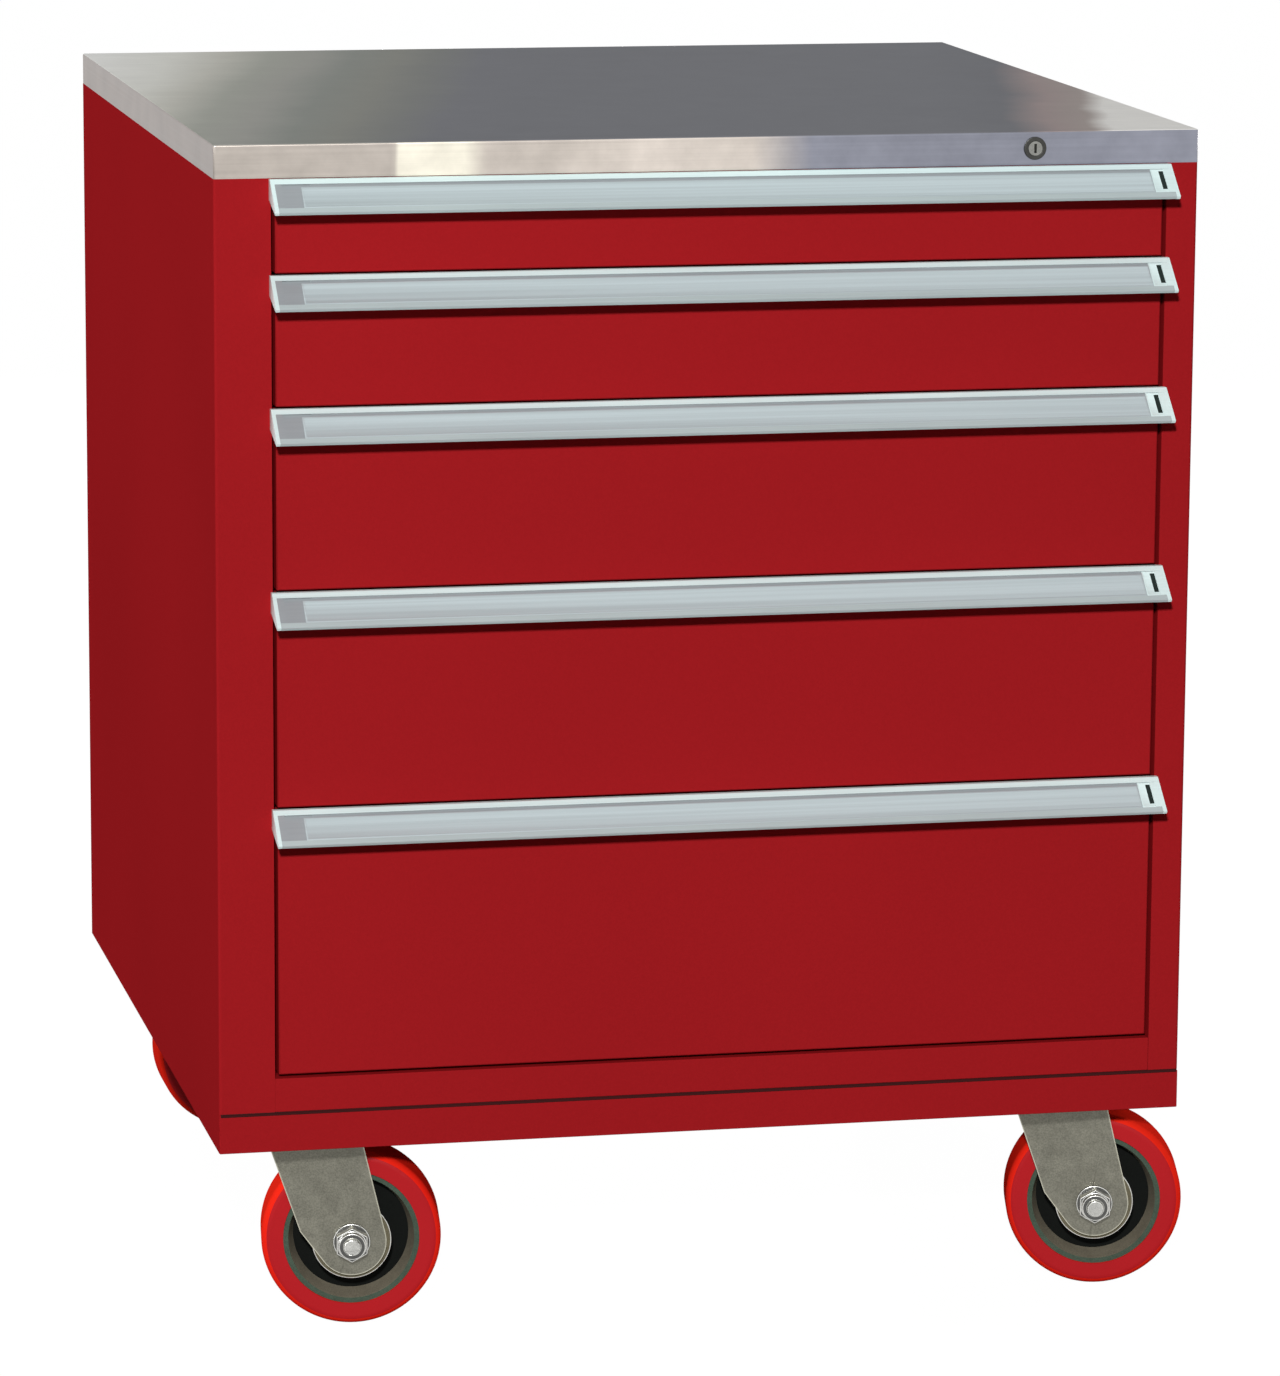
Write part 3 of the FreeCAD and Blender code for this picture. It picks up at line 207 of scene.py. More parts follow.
def place_on_object(nodes, links, scale=(1.0, 1.0, 1.0)):
    """Object coordinates, stretched by a scale along each axis."""
    coordinates = nodes.new("ShaderNodeTexCoord")
    mapping = nodes.new("ShaderNodeMapping")
    mapping.inputs["Scale"].default_value = scale
    links.new(coordinates.outputs["Object"], mapping.inputs["Vector"])
    return mapping.outputs["Vector"]


def noise(nodes, links, vector, scale, detail=3.0, roughness=0.5):
    """A noise pattern on a vector."""
    node = nodes.new("ShaderNodeTexNoise")
    node.inputs["Scale"].default_value = scale
    node.inputs["Detail"].default_value = detail
    node.inputs["Roughness"].default_value = roughness
    links.new(vector, node.inputs["Vector"])
    return node.outputs["Fac"]


def ramp(nodes, links, factor, stops):
    """A colour ramp with its stops as (place, colour)."""
    node = nodes.new("ShaderNodeValToRGB")
    elements = node.color_ramp.elements
    while len(elements) < len(stops):
        elements.new(0.5)
    for element, (place, tone) in zip(elements, stops):
        element.position = place
        element.color = tuple(tone) + (1.0,)
    links.new(factor, node.inputs["Fac"])
    return node.outputs["Color"]


def remap(nodes, links, value, low, high, source=(0.0, 1.0)):
    """A value moved from one range to another."""
    node = nodes.new("ShaderNodeMapRange")
    node.inputs["From Min"].default_value = source[0]
    node.inputs["From Max"].default_value = source[1]
    node.inputs["To Min"].default_value = low
    node.inputs["To Max"].default_value = high
    links.new(value, node.inputs["Value"])
    return node.outputs["Result"]


def multiply(nodes, links, first, second):
    """Two colours multiplied."""
    mix = nodes.new("ShaderNodeMix")
    mix.data_type = "RGBA"
    mix.blend_type = "MULTIPLY"
    mix.inputs["Factor"].default_value = 1.0
    links.new(first, mix.inputs["A"])
    links.new(second, mix.inputs["B"])
    return mix.outputs["Result"]


def multiply_add(nodes, links, value, factor, addend):
    """A value times a fixed factor, plus another value."""
    node = nodes.new("ShaderNodeMath")
    node.operation = "MULTIPLY_ADD"
    node.inputs[1].default_value = factor
    links.new(value, node.inputs[0])
    links.new(addend, node.inputs[2])
    return node.outputs[0]


def across(nodes, links, span, lean, waver):
    """Zero to one from left to right over a span at the front.

    The bands that follow from it lean with depth and waver a little.
    """
    coordinates = nodes.new("ShaderNodeTexCoord")
    split = nodes.new("ShaderNodeSeparateXYZ")
    links.new(coordinates.outputs["Object"], split.inputs["Vector"])
    leaning = multiply_add(nodes, links, split.outputs["Y"], -lean, split.outputs["X"])
    drift = noise(nodes, links, coordinates.outputs["Object"], 9.0)
    wavering = multiply_add(nodes, links, drift, waver, leaning)
    shift = waver / 2 - lean * FRONT
    return remap(nodes, links, wavering, 0.0, 1.0, (span[0] + shift, span[1] + shift))


def bump(nodes, links, shader, height, strength, distance):
    """A bump on the shader."""
    node = nodes.new("ShaderNodeBump")
    node.inputs["Strength"].default_value = strength
    node.inputs["Distance"].default_value = distance
    links.new(height, node.inputs["Height"])
    links.new(node.outputs["Normal"], shader.inputs["Normal"])


def powder_coat(name, tone):
    """Satin powder coat: even colour with a faint cloud, and the fine ripple of sprayed paint."""
    material, nodes, links, shader = new_material(name)
    place = place_on_object(nodes, links)
    cloud = noise(nodes, links, place, 2.2, 2.0)
    speckle = noise(nodes, links, place, 700.0, 2.0)
    tint = ramp(nodes, links, cloud, [(0.30, shade(tone, 0.96)), (0.72, shade(tone, 1.04))])
    grain = ramp(nodes, links, speckle, [(0.30, grey(0.93)), (0.70, grey(1.0))])
    links.new(multiply(nodes, links, tint, grain), shader.inputs["Base Color"])
    gloss = noise(nodes, links, place, 9.0)
    links.new(remap(nodes, links, gloss, 0.42, 0.52), shader.inputs["Roughness"])
    shader.inputs["Specular IOR Level"].default_value = 0.0
    bump(nodes, links, shader, noise(nodes, links, place, 420.0, 2.0, 0.4), 0.10, 0.0004)
    return material


def brushed(name, tint_of, grain, roughness, along="X"):
    """Brushed metal: fine scratches along one axis over a slow drift of tone."""
    material, nodes, links, shader = new_material(name)
    stretch = {"X": (1.5, grain, grain), "Y": (grain, 1.5, grain)}[along]
    scratches = noise(nodes, links, place_on_object(nodes, links, stretch), 1.0, 6.0, 0.65)
    lines = ramp(nodes, links, scratches, [(0.25, grey(0.88)), (0.75, grey(1.0))])
    links.new(multiply(nodes, links, tint_of(nodes, links), lines), shader.inputs["Base Color"])
    links.new(remap(nodes, links, scratches, *roughness), shader.inputs["Roughness"])
    shader.inputs["Metallic"].default_value = 1.0
    bump(nodes, links, shader, scratches, 0.12, 0.0002)
    return material


def drifting(tone, spread, scale):
    """A tone that drifts lighter and darker over the piece."""
    def tint(nodes, links):
        place = place_on_object(nodes, links, (1.3, 1.3, 1.3))
        stops = [(0.30, shade(tone, 1.0 - spread)), (0.72, shade(tone, 1.0 + spread))]
        return ramp(nodes, links, noise(nodes, links, place, scale), stops)
    return tint


def painted_reflection_bands(stops, span, lean=0.0, waver=0.0, blotch=0.05):
    """Broad bands of painted reflection from left to right, as brushed steel shows them, with faint
    smudges.
    """
    def tint(nodes, links):
        bands = ramp(nodes, links, across(nodes, links, span, lean, waver), stops)
        smudges = noise(nodes, links, place_on_object(nodes, links), 30.0, 4.0, 0.6)
        spots = ramp(nodes, links, smudges, [(0.3, grey(1.0 - blotch)), (0.7, grey(1.0))])
        return multiply(nodes, links, bands, spots)
    return tint


def satin(name, tone, roughness=(0.38, 0.50)):
    """Bead-blasted and anodised aluminium: a soft even tone with fine lines along its length."""
    material, nodes, links, shader = new_material(name)
    stretched = place_on_object(nodes, links, (1.5, 700.0, 700.0))
    lines = noise(nodes, links, stretched, 1.0, 4.0, 0.6)
    cloud = noise(nodes, links, place_on_object(nodes, links), 12.0, 2.0)
    drift = ramp(nodes, links, cloud, [(0.3, shade(tone, 0.96)), (0.7, shade(tone, 1.03))])
    grain = ramp(nodes, links, lines, [(0.3, grey(0.93)), (0.7, grey(1.0))])
    links.new(multiply(nodes, links, drift, grain), shader.inputs["Base Color"])
    links.new(remap(nodes, links, lines, *roughness), shader.inputs["Roughness"])
    shader.inputs["Metallic"].default_value = 0.12
    shader.inputs["Specular IOR Level"].default_value = 0.12
    bump(nodes, links, shader, lines, 0.05, 0.0002)
    return material


def mottled_steel(name, tone, roughness, scale, metallic=1.0):
    """Plated, pressed or cast metal, or raw board, with a mottled surface."""
    material, nodes, links, shader = new_material(name)
    place = place_on_object(nodes, links)
    blotches = noise(nodes, links, place, scale, 4.0, 0.6)
    tint = ramp(nodes, links, blotches,
                [(0.30, shade(tone, 0.86)), (0.55, tone), (0.78, shade(tone, 1.15))])
    grit = noise(nodes, links, place, scale * 11, 3.0, 0.7)
    speckle = ramp(nodes, links, grit, [(0.36, grey(0.70)), (0.60, grey(1.0))])
    links.new(multiply(nodes, links, tint, speckle), shader.inputs["Base Color"])
    links.new(remap(nodes, links, blotches, *roughness), shader.inputs["Roughness"])
    shader.inputs["Metallic"].default_value = metallic
    shader.inputs["Specular IOR Level"].default_value = 0.05 + 0.45 * metallic
    bump(nodes, links, shader, noise(nodes, links, place, scale * 14), 0.12, 0.0003)
    return material


def painted_edge_highlights(material, tone, reach):
    """Lighten a material where its piece turns an edge: a painted highlight along its edges."""
    nodes, links = material.node_tree.nodes, material.node_tree.links
    base = shader_of(material).inputs["Base Color"]
    rounded = nodes.new("ShaderNodeBevel")
    rounded.samples = 8
    rounded.inputs["Radius"].default_value = reach
    flat = nodes.new("ShaderNodeNewGeometry")
    alike = nodes.new("ShaderNodeVectorMath")
    alike.operation = "DOT_PRODUCT"
    links.new(rounded.outputs["Normal"], alike.inputs[0])
    links.new(flat.outputs["Normal"], alike.inputs[1])
    blend = nodes.new("ShaderNodeMix")
    blend.data_type = "RGBA"
    blend.inputs["A"].default_value = (*tone, 1.0)
    links.new(base.links[0].from_socket, blend.inputs["B"])
    flatness = remap(nodes, links, alike.outputs["Value"], 0.0, 1.0, (0.90, 0.995))
    links.new(flatness, blend.inputs["Factor"])
    links.new(blend.outputs["Result"], base)


def moulded(name, tone, lighter, roughness):
    """Polyurethane, rubbery plastic, or a dark strip of painted shadow: soft even colour that is
    lighter in places.
    """
    material, nodes, links, shader = new_material(name)
    place = place_on_object(nodes, links)
    cloud = noise(nodes, links, place, 14.0)
    tint = ramp(nodes, links, cloud, [(0.30, tone), (0.75, lighter)])
    links.new(tint, shader.inputs["Base Color"])
    links.new(remap(nodes, links, cloud, roughness, roughness + 0.1), shader.inputs["Roughness"])
    shader.inputs["Specular IOR Level"].default_value = 0.10
    bump(nodes, links, shader, noise(nodes, links, place, 500.0, 2.0), 0.08, 0.0003)
    return material


def label_card(name, tone):
    """Pale card behind a thin clear cover, with faint stripes of painted reflection along its
    length.
    """
    material, nodes, links, shader = new_material(name)
    # Faint stripes of painted reflection in the clear cover, also used as a slight bump.
    reflection_stripes = noise(nodes, links, place_on_object(nodes, links, (2.0, 380.0, 380.0)), 1.0, 2.0)
    tint = ramp(nodes, links, reflection_stripes, [(0.35, shade(tone, 0.93)), (0.65, shade(tone, 1.05))])
    links.new(tint, shader.inputs["Base Color"])
    shader.inputs["Roughness"].default_value = 0.32
    shader.inputs["Specular IOR Level"].default_value = 0.25
    bump(nodes, links, shader, reflection_stripes, 0.05, 0.0002)
    return material


def dress(node, *materials):
    """Put materials on a node of the frame, the first of them on all its faces."""
    mesh = frame["nodes"][node].data
    mesh.materials.clear()
    for material in materials:
        mesh.materials.append(material)
    for face in mesh.polygons:
        face.material_index = 0
    return mesh


def soften(node, width, material=-1):
    """Round the sharp edges of a node of the frame with live modifiers.

    The roundings may have a material of their own, and are then made at their full width.
    """
    piece = frame["nodes"][node]
    weld = piece.modifiers.new("join", "WELD")
    weld.merge_threshold = 0.00001
    bevel = piece.modifiers.new("edges", "BEVEL")
    bevel.width = width
    bevel.segments = 2
    bevel.limit_method = "ANGLE"
    bevel.angle_limit = math.radians(40)
    bevel.harden_normals = True
    bevel.material = material
    bevel.use_clamp_overlap = material < 0


def start_block(name, middle, size, turn=0.0):
    """A block turned about X, alone in the selection, with its place in its mesh."""
    bpy.ops.object.select_all(action="DESELECT")
    bpy.ops.mesh.primitive_cube_add(size=1.0, location=middle, rotation=(turn, 0.0, 0.0),
                                    scale=size)
    piece = bpy.context.active_object
    piece.name = name
    bpy.ops.object.transform_apply(location=True, rotation=True, scale=True)
    return piece


def edit_faces(piece, chosen):
    """Go into edit mode with the chosen faces of a piece selected."""
    bpy.ops.object.mode_set(mode="EDIT")
    bpy.ops.mesh.select_mode(type="FACE")
    bpy.ops.mesh.select_all(action="DESELECT")
    bpy.ops.object.mode_set(mode="OBJECT")
    for face in piece.data.polygons:
        face.select = chosen(face)
    bpy.ops.object.mode_set(mode="EDIT")


def draw_in(piece, way, border, step, depth):
    """Leave a border round the face that looks one way, and step the rest of it in or out."""
    edit_faces(piece, lambda face: face.normal.dot(way) > 0.9)
    bpy.ops.mesh.inset(thickness=border, depth=0.0)
    bpy.ops.mesh.inset(thickness=step, depth=depth)
    bpy.ops.object.mode_set(mode="OBJECT")


def finish_piece(piece, material):
    """Bevel a piece's edges, shade it by angle and give it its material."""
    bevel = piece.modifiers.new("edges", "BEVEL")
    bevel.width = 0.0001
    bevel.segments = 2
    bevel.angle_limit = math.radians(35)
    bpy.ops.object.modifier_apply(modifier=bevel.name)
    bpy.ops.object.shade_smooth_by_angle(angle=math.radians(35))
    piece.data.materials.append(material)


class CABINET_OT_housing(Operator):
    """Paint the housing, the base and the drawers"""
    bl_idname = "cabinet.housing"
    bl_label = "Paint the housing"

    def execute(self, context):
        paint = powder_coat("red powder coat", context.scene.cabinet_colours.paint)
        for node in PAINTED:
            dress(node, paint)
        for number in DRAWERS:
            dress("drawer_%d_front" % number, paint)
            dress("drawer_%d_box" % number, paint)
        width = context.scene.cabinet_sizes.edge_round
        for node in ("bottom_rail", "base_frame", "back_panel"):
            soften(node, width)
        for number in DRAWERS:
            soften("drawer_%d_front" % number, width)
        return {"FINISHED"}


class CABINET_OT_seam_shadow(Operator):
    """Lay a dark bead along the front between the housing and its base, painted as the shadow in
    the gap there
    """
    bl_idname = "cabinet.seam"
    bl_label = "Lay the base seam"

    def execute(self, context):
        height = context.scene.cabinet_sizes.seam_shadow_height
        tone = context.scene.cabinet_colours.seam
        # A dark strip of painted shadow where the housing meets its base.
        shadow_bead = start_block("base_seam", ((LEFT + RIGHT) / 2, FRONT, BASE_BOX[1][2]),
                           (RIGHT - LEFT - SHADOW_BEAD_ENDS, SHADOW_BEAD_DEPTH, height))
        draw_in(shadow_bead, Vector((0.0, -1.0, 0.0)), height * 0.3, height * 0.1, -0.00015)
        finish_piece(shadow_bead, moulded("seam sealant", tone, shade(tone, 1.3), 0.6))
        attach(shadow_bead, "root")
        return {"FINISHED"}


def deck_reflection_bands(middle):
    """Painted reflection on the deck: bright at the left end, dark in the middle, and bright at the
    right.
    """
    return [(0.0, (0.93, 0.93, 0.91)), (0.09, (0.80, 0.80, 0.75)),
            (0.134, (0.635, 0.629, 0.573)), (0.174, (0.455, 0.465, 0.420)),
            (0.214, (0.425, 0.425, 0.395)), (0.254, (0.330, 0.345, 0.320)),
            (0.294, (0.325, 0.328, 0.300)), (0.334, (0.278, 0.284, 0.276)),
            (0.374, shade(middle, 1.02)), (0.432, middle), (0.78, shade(middle, 1.02)),
            (0.845, shade(middle, 0.97)), (0.878, (0.42, 0.350, 0.345)),
            (0.912, (0.44, 0.39, 0.37)), (0.930, (0.88, 0.87, 0.84))]


def edge_reflection_bands(tone):
    """Painted reflection on the front edge: warm at the left with a cream patch, cool towards the
    lock.
    """
    cool = (tone[0] * 0.62, tone[0] * 0.64, tone[0] * 0.76)
    return [(0.0, tone), (0.179, shade(tone, 1.05)), (0.184, CREAM_REFLECTION), (0.25, CREAM_REFLECTION),
            (0.272, shade(tone, 1.25)), (0.34, shade(tone, 1.22)), (0.44, shade(tone, 1.55)),
            (0.54, shade(tone, 1.35)), (0.60, cool), (0.70, shade(cool, 0.88)),
            (0.86, shade(cool, 0.92)), (1.0, shade(cool, 1.08))]


class CABINET_OT_worktop(Operator):
    """Brush the stainless worktop along its width, and finish its folded edges and its core"""
    bl_idname = "cabinet.worktop"
    bl_label = "Finish the worktop"

    def execute(self, context):
        tones = context.scene.cabinet_colours
        left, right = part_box("worktop")[0][0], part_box("worktop")[1][0]
        deck_span = (left - (right - left) * 0.25, right)
        # The deck's bands of tone are painted reflection.
        deck_reflection = painted_reflection_bands(deck_reflection_bands(tones.steel), deck_span, lean=0.25, waver=0.03)
        deck = brushed("worktop deck", deck_reflection, 420.0, (0.40, 0.50))
        shader_of(deck).inputs["Specular Tint"].default_value = DECK_GLOSS
        # The front edge's bands of tone are painted reflection.
        edge_reflection = painted_reflection_bands(edge_reflection_bands(tones.steel_edge), (left, right), waver=0.01, blotch=0.20)
        edge = brushed("worktop edge", edge_reflection, 500.0, (0.24, 0.34))
        side_tint = drifting(WORKTOP_SIDE, 0.10, 20.0)
        side = brushed("worktop side", side_tint, 500.0, (0.28, 0.40), along="Y")
        for face in dress("worktop", deck, edge, side).polygons:
            if abs(face.normal.y) > 0.8:
                face.material_index = 1
            elif abs(face.normal.x) > 0.8:
                face.material_index = 2
        dress("worktop_core", mottled_steel("core board", tones.board, (0.7, 0.9), 180.0, 0.0))
        soften("worktop", context.scene.cabinet_sizes.edge_round * 2)
        return {"FINISHED"}


def pull_frame():
    """The top pull's slope: its upper corner, the way down it, the way out of it, and its ends."""
    low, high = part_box("drawer_1_pull")
    corner = Vector((0.0, low[1] + PULL_REACH - PULL_FLAT, high[2]))
    down = Vector((0.0, PULL_FLAT - PULL_REACH, -PULL_DROP)).normalized()
    out = Vector((0.0, down.z, -down.y))
    return corner, down, out, (low[0], high[0])


def start_slab(name, span, along, heights):
    """A slab on the top pull: its span in X, its stretch down the slope, its heights over it."""
    corner, down, out, ends = pull_frame()
    middle = corner + down * (sum(along) / 2) + out * (sum(heights) / 2)
    middle.x = sum(span) / 2
    size = (span[1] - span[0], along[1] - along[0], heights[1] - heights[0])
    return start_block(name, middle, size, math.atan2(-down.z, -down.y))


def label_strip(sizes):
    """The label card under its clear cover, its face drawn in with a shallow step all round."""
    corner, down, out, ends = pull_frame()
    strip = start_slab("drawer_1_label", (ends[0] + sizes.label_start, ends[1] - sizes.label_end),
                       (LIP + SHADOW_LINE, SLOPE - LIP - SNUG), CARD_HEIGHTS)
    draw_in(strip, out, 0.0012, 0.0003, -0.0002)
    return strip


def label_stop(sizes):
    """The block that holds the label's right end."""
    corner, down, out, ends = pull_frame()
    span = (ends[1] - sizes.label_end + SNUG, ends[1] - STOP_INSET)
    stop = start_slab("drawer_1_label_stop", span, (LIP + SNUG, SLOPE - LIP - SNUG), STOP_HEIGHTS)
    draw_in(stop, out, 0.0008, 0.0002, -0.0001)
    return stop


def slot_shadow_patch(sizes):
    """A dark patch in the stop, painted as the shadow in the slot there."""
    corner, down, out, ends = pull_frame()
    middle = ends[1] - sizes.slot_place
    span = (middle - sizes.slot_width / 2, middle + sizes.slot_width / 2)
    along = (LIP + SLOT_MARGINS[0], SLOPE - LIP - SLOT_MARGINS[1])
    slot = start_slab("drawer_1_label_slot", span, along, SLOT_HEIGHTS)
    draw_in(slot, out, 0.0005, 0.0002, -0.0001)
    return slot


def copy_to_drawer(piece, number):
    """A copy of the top drawer's piece on another drawer, with its own mesh and its place in it."""
    bpy.ops.object.select_all(action="DESELECT")
    piece.select_set(True)
    bpy.context.view_layer.objects.active = piece
    bpy.ops.object.duplicate(linked=False)
    twin = bpy.context.active_object
    twin.name = piece.name.replace("drawer_1", "drawer_%d" % number)
    twin.location.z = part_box("drawer_%d_pull" % number)[1][2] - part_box("drawer_1_pull")[1][2]
    bpy.ops.object.transform_apply(location=True, rotation=False, scale=False)
    return twin


def on_every_drawer(piece):
    """Let a piece ride on the top drawer, and a copy of it on each of the others."""
    for number in DRAWERS:
        if number > 1:
            twin = copy_to_drawer(piece, number)
            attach(twin, "drawer_%d" % number)
    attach(piece, "drawer_1")


def paint_pull(number, metal, bright, channel):
    """Metal all over a pull, with a painted highlight on its top strip and upper rim, light caps,
    and a channel darkened as painted shade.
    """
    corner, down, out, ends = pull_frame()
    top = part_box("drawer_%d_pull" % number)[1][2]
    for face in dress("drawer_%d_pull" % number, metal, bright, channel).polygons:
        middle = face.center
        away = middle - Vector((middle.x, corner.y, top))
        along, above = away.dot(down), away.dot(out)
        from_end = min(middle.x - ends[0], ends[1] - middle.x)
        on_slope = face.normal.dot(out) > 0.9
        # The top strip and the upper rim get the painted highlight; the caps take their light tone
        # from the same material.
        if face.normal.z > 0.95 or from_end < CAP_FACE:
            face.material_index = 1
        elif on_slope and above > RIM_FACE and along < LIP:
            face.material_index = 1
        # The channel faces get a darker tone: painted shade in the recess under the rims.
        elif on_slope and above < CHANNEL_FACE:
            face.material_index = 2
        elif on_slope and LIP < along < SLOPE - LIP and from_end < CAP_TONGUE:
            face.material_index = 2 if middle.x < (ends[0] + ends[1]) / 2 else 1


class CABINET_OT_pulls(Operator):
    """Finish the pulls, and set their labels, the stops, and the dark patches of painted shadow in
    the slots at the labels' right ends
    """
    bl_idname = "cabinet.pulls"
    bl_label = "Finish the pulls"

    def execute(self, context):
        tones = context.scene.cabinet_colours
        sizes = context.scene.cabinet_sizes
        metal = satin("anodised aluminium", tones.pull)
        # Painted highlight for the pulls' top strips and upper rims, and the light caps and stops.
        bright = satin("bright pull edge", PULL_HIGHLIGHT_AND_CAPS, (0.30, 0.40))
        # Darker channel material: painted shade in the recess.
        channel = satin("label channel", LABEL_CHANNEL_SHADE)
        card = label_card("label card", tones.label)
        # Near-black material of painted shadow for the slots.
        dark = moulded("dark slot", tones.slot, shade(tones.slot, 1.6), 0.5)
        for number in DRAWERS:
            paint_pull(number, metal, bright, channel)
        for make, material in ((label_strip, card), (label_stop, bright), (slot_shadow_patch, dark)):
            piece = make(sizes)
            finish_piece(piece, material)
            on_every_drawer(piece)
        return {"FINISHED"}


class CABINET_OT_slides(Operator):
    """Plate the slides, the slide uprights, the lock bars and the caster bolts with zinc"""
    bl_idname = "cabinet.slides"
    bl_label = "Finish the slides"

    def execute(self, context):
        zinc = mottled_steel("zinc plating", context.scene.cabinet_colours.zinc,
                             (0.30, 0.45), 45.0)
        names = ["slide_uprights", "cabinet_rails", "transfer_bar", "lock_bar", "caster_bolts"]
        for number in DRAWERS:
            names += ["drawer_%d_runners" % number, "drawer_%d_middles" % number]
        for node in names:
            dress(node, zinc)
        return {"FINISHED"}


class CABINET_OT_lock(Operator):
    """Finish the lock in the worktop's edge: a dark bezel round a plated plug"""
    bl_idname = "cabinet.lock"
    bl_label = "Finish the lock"

    def execute(self, context):
        tone = context.scene.cabinet_colours.nickel
        nickel = mottled_steel("nickel plating", tone, (0.22, 0.34), 160.0)
        bezel = mottled_steel("dark bezel", shade(tone, 0.22), (0.30, 0.42), 160.0)
        for node, material in (("lock_body", bezel), ("lock_plug", nickel)):
            dress(node, material)
            soften(node, 0.0005)
        return {"FINISHED"}


def axle_direction(corner):
    """The way a caster's axle points, from its roll joint."""
    joints = frame["record"]["behaviour"]["joints"]
    roll = [joint for joint in joints if joint["name"] == "caster_%s_roll" % corner][0]
    return Vector(roll["axis"]).normalized()


def around_axle(face, middle, axle):
    """How much a face looks along the axle, and its distances from the axle and the wheel's middle.

    The second distance is taken along the axle.
    """
    away = face.center - middle
    along = away.dot(axle)
    return abs(face.normal.dot(axle)), (away - axle * along).length, abs(along)


def caster_finishes(tones):
    """The finishes of a caster, as the list of materials for each of its nodes."""
    steel = mottled_steel("pressed fork steel", tones.fork, (0.40, 0.55), 70.0)
    # Painted highlight where the fork's plate turns an edge.
    painted_edge_highlights(steel, shade(tones.fork, 2.6), 0.0020)
    # Brighter copy of the tread: painted highlight on the shoulders.
    shoulder = moulded("polyurethane shoulder", *SHOULDER_HIGHLIGHT, 0.45)
    shader_of(shoulder).inputs["Specular IOR Level"].default_value = 0.0
    return {
        "fork": [
            steel,
            # Lighter copy of the fork steel for its side faces: painted highlight.
            mottled_steel("fork edge", shade(tones.fork, 2.9), (0.30, 0.45), 70.0),
        ],
        "axle": [
            mottled_steel("plated axle parts", tones.zinc, (0.22, 0.36), 120.0),
            mottled_steel("thread guard", THREAD_GUARD, (0.45, 0.60), 120.0, 0.3),
            mottled_steel("nut face", NUT_FACE, (0.35, 0.50), 160.0, 0.6),
            # Lighter copy of the zinc for the axle parts' roundings: painted glint.
            mottled_steel("worn edges", shade(tones.zinc, 1.35), (0.20, 0.30), 120.0),
        ],
        "hub": [
            mottled_steel("painted hub rim", tones.hub, (0.35, 0.55), 90.0, 0.0),
            # Near-black material of painted shadow for the hub's recess.
            mottled_steel("dark hub recess", HUB_RECESS_SHADOW, (0.5, 0.7), 90.0, 0.0),
            mottled_steel("hub slope", HUB_SLOPE, (0.6, 0.8), 90.0, 0.0),
        ],
        "tyre": [
            moulded("polyurethane tread", tones.tread, shade(tones.tread, 1.10), 0.42),
            shoulder,
        ],
    }


def paint_caster(corner, finishes):
    """Dress one caster's nodes, each face by its place round the axle."""
    axle = axle_direction(corner)
    low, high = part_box("caster_%s_tyre" % corner)
    middle = (Vector(low) + Vector(high)) / 2
    radius = (high[2] - low[2]) / 2
    rim = HUB_RIM_SHARE * radius
    meshes = {node: dress("caster_%s_%s" % (corner, node), *materials)
              for node, materials in finishes.items()}
    for face in meshes["fork"].polygons:
        # Side faces of the fork plate get the painted highlight.
        if abs(face.normal.dot(axle)) < 0.5 and face.normal.z < 0.8:
            face.material_index = 1
    for face in meshes["axle"].polygons:
        facing, reach, along = around_axle(face, middle, axle)
        if reach > GUARD_SHARE * radius:
            face.material_index = 1
        elif facing > 0.9 and along > PLATE_SHARE * radius and reach > NUT_SHARE * radius:
            face.material_index = 2
    for face in meshes["hub"].polygons:
        facing, reach, along = around_axle(face, middle, axle)
        if reach > rim * RECESS_SHARE and facing < 0.9:
            face.material_index = 2
        # The hub's inner faces get the near-black painted shadow.
        elif reach < rim or facing < 0.95:
            face.material_index = 1
    for face in meshes["tyre"].polygons:
        # Faces that do not look along the axle get the painted highlight.
        if abs(face.normal.dot(axle)) < 0.9:
            face.material_index = 1


class CABINET_OT_casters(Operator):
    """Finish the forks, axles, hubs and treads of the casters"""
    bl_idname = "cabinet.casters"
    bl_label = "Finish the casters"

    def execute(self, context):
        finishes = caster_finishes(context.scene.cabinet_colours)
        dress("caster_plates", finishes["fork"][0])
        for corner in CORNERS:
            paint_caster(corner, finishes)
            soften("caster_%s_fork" % corner, 0.0010)
            # The axle's roundings get the painted glint material.
            soften("caster_%s_axle" % corner, 0.0008, 3)
        return {"FINISHED"}


def seen_or_mirrored(nodes, links, other, seen):
    """One value for rays from the camera and off gloss, and another for all other rays."""
    path = nodes.new("ShaderNodeLightPath")
    either = nodes.new("ShaderNodeMath")
    either.operation = "MAXIMUM"
    links.new(path.outputs["Is Camera Ray"], either.inputs[0])
    links.new(path.outputs["Is Glossy Ray"], either.inputs[1])
    return remap(nodes, links, either.outputs[0], other, seen)


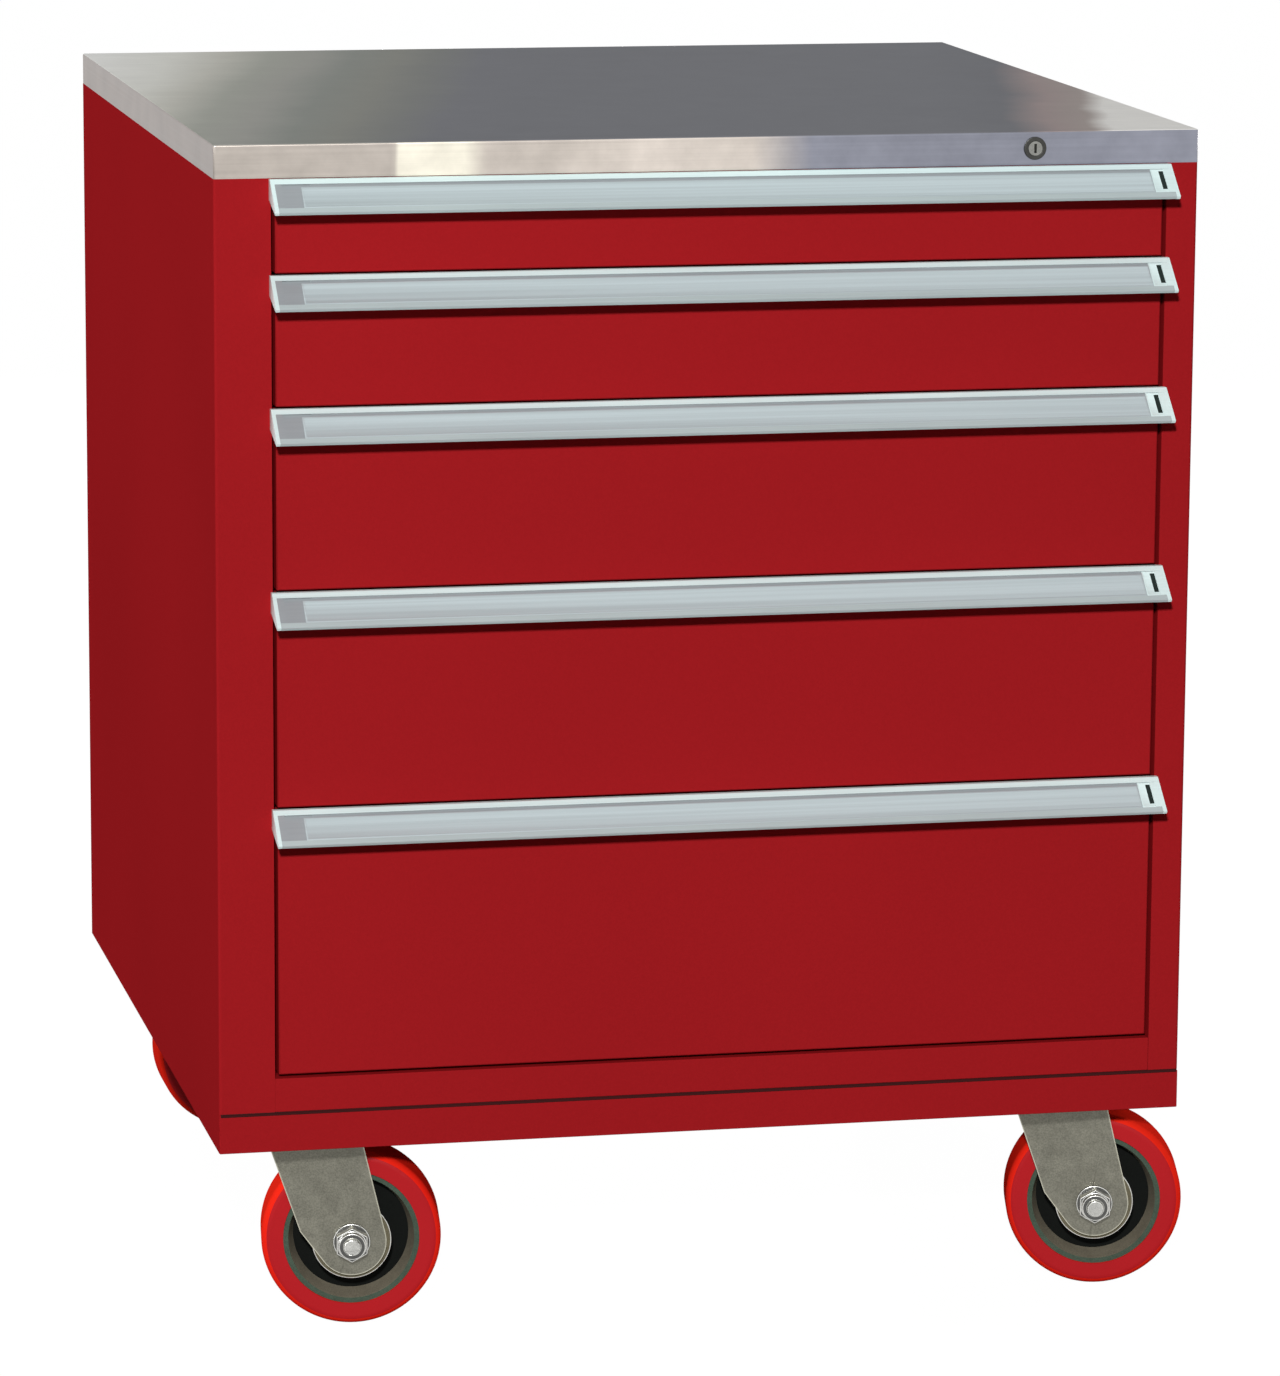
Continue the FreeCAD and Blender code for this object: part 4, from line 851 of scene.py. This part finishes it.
def pale_floor(tone):
    """A floor that looks white to the camera and in metal, and still shows a shadow."""
    material, nodes, links, shader = new_material("pale floor")
    shader.inputs["Roughness"].default_value = 0.9
    grain = noise(nodes, links, place_on_object(nodes, links), 30.0)
    tint = ramp(nodes, links, grain, [(0.3, shade(tone, 0.98)), (0.7, tone)])
    links.new(tint, shader.inputs["Base Color"])
    glow = nodes.new("ShaderNodeEmission")
    glow.inputs["Strength"].default_value = GLOW_STRENGTH
    mix = nodes.new("ShaderNodeMixShader")
    links.new(seen_or_mirrored(nodes, links, *FLOOR_GLOW), mix.inputs["Fac"])
    links.new(shader.outputs["BSDF"], mix.inputs[1])
    links.new(glow.outputs["Emission"], mix.inputs[2])
    links.new(mix.outputs["Shader"], nodes["Material Output"].inputs["Surface"])
    return material


def set_camera(context, focal):
    """The camera at the photographed angle."""
    yaw, pitch, roll = (math.radians(turn) for turn in CAMERA_TURN)
    data = bpy.data.cameras.new("camera")
    data.lens = focal
    data.sensor_width = SENSOR_WIDTH
    data.clip_end = 200.0
    camera = bpy.data.objects.new("camera", data)
    context.scene.collection.objects.link(camera)
    camera.location = Vector((LEFT, FRONT, BASE)) + Vector(CAMERA_FROM_CORNER)
    level = math.cos(pitch)
    forward = Vector((math.sin(yaw) * level, math.cos(yaw) * level, math.sin(pitch)))
    side = forward.cross(Vector((0, 0, 1))).normalized()
    up = side.cross(forward)
    right = side * math.cos(roll) + up * math.sin(roll)
    top = up * math.cos(roll) - side * math.sin(roll)
    camera.rotation_euler = Matrix((right, top, -forward)).transposed().to_euler()
    context.scene.camera = camera


def set_lamps(context):
    """Square lamps: a key at the front, a soft one at the left, and two below the deck's plane."""
    for name, place, side, watts in LAMPS:
        data = bpy.data.lights.new(name, "AREA")
        data.size = side
        data.energy = watts
        lamp = bpy.data.objects.new(name, data)
        context.scene.collection.objects.link(lamp)
        lamp.location = place
        aim = Vector(LAMP_TARGET) - Vector(place)
        lamp.rotation_euler = aim.to_track_quat("-Z", "Y").to_euler()


def set_world(context):
    """A white world that lights the object only faintly."""
    world = bpy.data.worlds.new("studio")
    context.scene.world = world
    world.use_nodes = True
    nodes, links = world.node_tree.nodes, world.node_tree.links
    background = nodes["Background"]
    background.inputs["Color"].default_value = (1.0, 1.0, 1.0, 1.0)
    links.new(seen_or_mirrored(nodes, links, *WORLD_LIGHT), background.inputs["Strength"])


class CABINET_OT_stage(Operator):
    """Set up the floor, the camera at the photographed angle, the lamps and the world"""
    bl_idname = "cabinet.stage"
    bl_label = "Set up the stage"

    def execute(self, context):
        sizes = context.scene.cabinet_sizes
        bpy.ops.object.select_all(action="DESELECT")
        bpy.ops.mesh.primitive_plane_add(size=sizes.floor_side, location=(0, 0, 0))
        floor = context.active_object
        floor.name = "studio_floor"
        floor.data.materials.append(pale_floor(context.scene.cabinet_colours.floor))
        set_camera(context, sizes.camera_focal)
        set_lamps(context)
        set_world(context)
        return {"FINISHED"}


OPERATORS = (CABINET_OT_housing, CABINET_OT_seam_shadow, CABINET_OT_worktop, CABINET_OT_pulls,
             CABINET_OT_slides, CABINET_OT_lock, CABINET_OT_casters, CABINET_OT_stage)


class CABINET_PT_panel(Panel):
    """The pieces of the cabinet, in the order in which they are made"""
    bl_idname = "CABINET_PT_panel"
    bl_label = "Tool cabinet"
    bl_space_type = "VIEW_3D"
    bl_region_type = "UI"
    bl_category = "Cabinet"

    def draw(self, context):
        for group in (context.scene.cabinet_colours, context.scene.cabinet_sizes):
            for name in group.__annotations__:
                self.layout.prop(group, name)
        for operator in OPERATORS:
            self.layout.operator(operator.bl_idname)


CLASSES = (CabinetColours, CabinetSizes) + OPERATORS + (CABINET_PT_panel,)


def register():
    for each in CLASSES:
        bpy.utils.register_class(each)
    bpy.types.Scene.cabinet_colours = PointerProperty(type=CabinetColours)
    bpy.types.Scene.cabinet_sizes = PointerProperty(type=CabinetSizes)


def unregister():
    del bpy.types.Scene.cabinet_colours
    del bpy.types.Scene.cabinet_sizes
    for each in reversed(CLASSES):
        bpy.utils.unregister_class(each)


def main():
    """Make everything in order."""
    register()
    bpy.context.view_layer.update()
    bpy.context.scene.view_settings.view_transform = "Standard"
    bpy.ops.cabinet.housing()
    bpy.ops.cabinet.seam()
    bpy.ops.cabinet.worktop()
    bpy.ops.cabinet.pulls()
    bpy.ops.cabinet.slides()
    bpy.ops.cabinet.lock()
    bpy.ops.cabinet.casters()
    bpy.ops.cabinet.stage()


if __name__ == "__main__":
    main()
